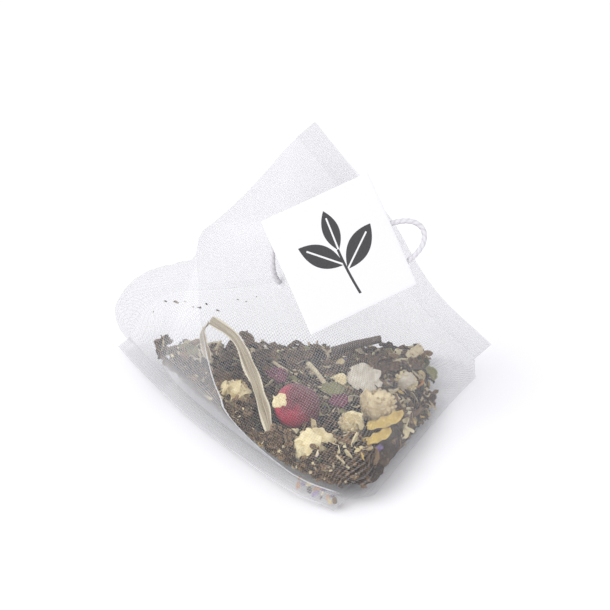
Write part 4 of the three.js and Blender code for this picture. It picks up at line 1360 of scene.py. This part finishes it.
# Crumbs caught in the floor seal: how far round the bag, and how far out of it.
SEAL_CRUMBS = [
    (58.5, 0.7), (60, 1.3), (61, 0.8), (62, 1.6), (62.8, 0.9), (63.6, 1.7), (64.4, 1.0),
    (65, 1.8), (65.8, 1.2), (66.5, 0.6), (67, 1.7), (67.7, 1.1), (59.3, 1.9), (64, 0.4),
]
SEAL_SLOPE = 0.43           # how far the floor seal falls to its cut edge


def crumb(grain, place, lie, axis, smallest, chance):
    """A copy of the grain, lying so and then turned about the axis and sized by chance."""
    turn = Matrix.Rotation(chance.uniform(0, 6.28), 4, axis)
    size = Matrix.Scale(chance.uniform(smallest, 1.2), 4)
    return copy_of(grain, Matrix.Translation(spot(*place)) @ lie @ turn @ size, chance.random())


def make_specks():
    chance = random.Random(31)
    grain = bit(0.9, 0.35, 0.1, 90, 40, 60, 0.3, 0.6, 4)
    parts = [crumb(grain, place, Matrix.Identity(4), (0.3, 0.5, 0.8), 0.5, chance)
             for place in SPECKS]
    drop(grain)
    finish_piece(join("tea_dust", parts), TEA)


def make_seal_crumbs():
    """Crumbs pressed flat between the two layers of the floor seal."""
    chance = random.Random(37)
    edge = tube_level(0, SHEET_STEPS[0])
    lie = Vector(FLOOR_OUT).to_track_quat("X", "Z").to_matrix().to_4x4()
    kinds = [("orange", PEEL, "orange_peel"), ("purple", PURPLE, "purple_petal"),
             ("cream", CREAM, "cream_petal"), ("dark", TEA, "tea_leaf")]
    grain = bit(1.3, 0.8, 0.1, 0, 0, 0, 0.05, 0.7, 4)
    for start, (name, finish, slot) in enumerate(kinds):
        places = [edge[round(across * 2)] + FLOOR_FLAT * out - (0, 0, SEAL_SLOPE * out)
                  for across, out in SEAL_CRUMBS[start::len(kinds)]]
        parts = [crumb(grain, place, lie, "Z", 0.6, chance) for place in places]
        finish_piece(join(f"{name}_crumbs_in_seal", parts), finish)
    drop(grain)


make_specks()
make_seal_crumbs()


# ---- the table and the light ----

def make_floor():
    floor = added(bpy.ops.mesh.primitive_plane_add, size=6, location=(0, 0, -0.05 * MM))
    floor.name = "table"
    paint = Paint("white_table", Roughness=0.9)
    paint.surface(Base_Color=(0.93, 0.925, 0.94, 1))
    floor.data.materials.append(paint.material)


def soft_light(name, place, size, power, tint=(1, 1, 1)):
    lamp = bpy.data.lights.new(name, "AREA")
    lamp.shape = "DISK"
    lamp.size = size
    lamp.energy = power
    lamp.color = tint
    light = link(bpy.data.objects.new(name, lamp))
    light.location = place
    way = Vector((0, 0, 0.02)) - light.location
    light.rotation_euler = way.to_track_quat("-Z", "Y").to_euler()


WORLD_TINT = (0.97, 0.975, 1.0, 1)
WORLD_STRENGTH = 0.82
SHEETS_SEEN_THROUGH = 32


def set_light():
    world = bpy.data.worlds.new("studio")
    world.use_nodes = True
    sky = world.node_tree.nodes["Background"]
    sky.inputs["Color"].default_value = WORLD_TINT
    sky.inputs["Strength"].default_value = WORLD_STRENGTH
    scene = bpy.context.scene
    scene.world = world
    scene.view_settings.view_transform = "Standard"
    soft_light("window", Vector((-0.55, -0.35, 0.75)), 0.6, 4.3)
    soft_light("fill", Vector((0.5, -0.5, 0.6)), 0.8, 1.6, (0.97, 0.97, 1.0))
    scene.cycles.transparent_max_bounces = SHEETS_SEEN_THROUGH


make_floor()
set_light()
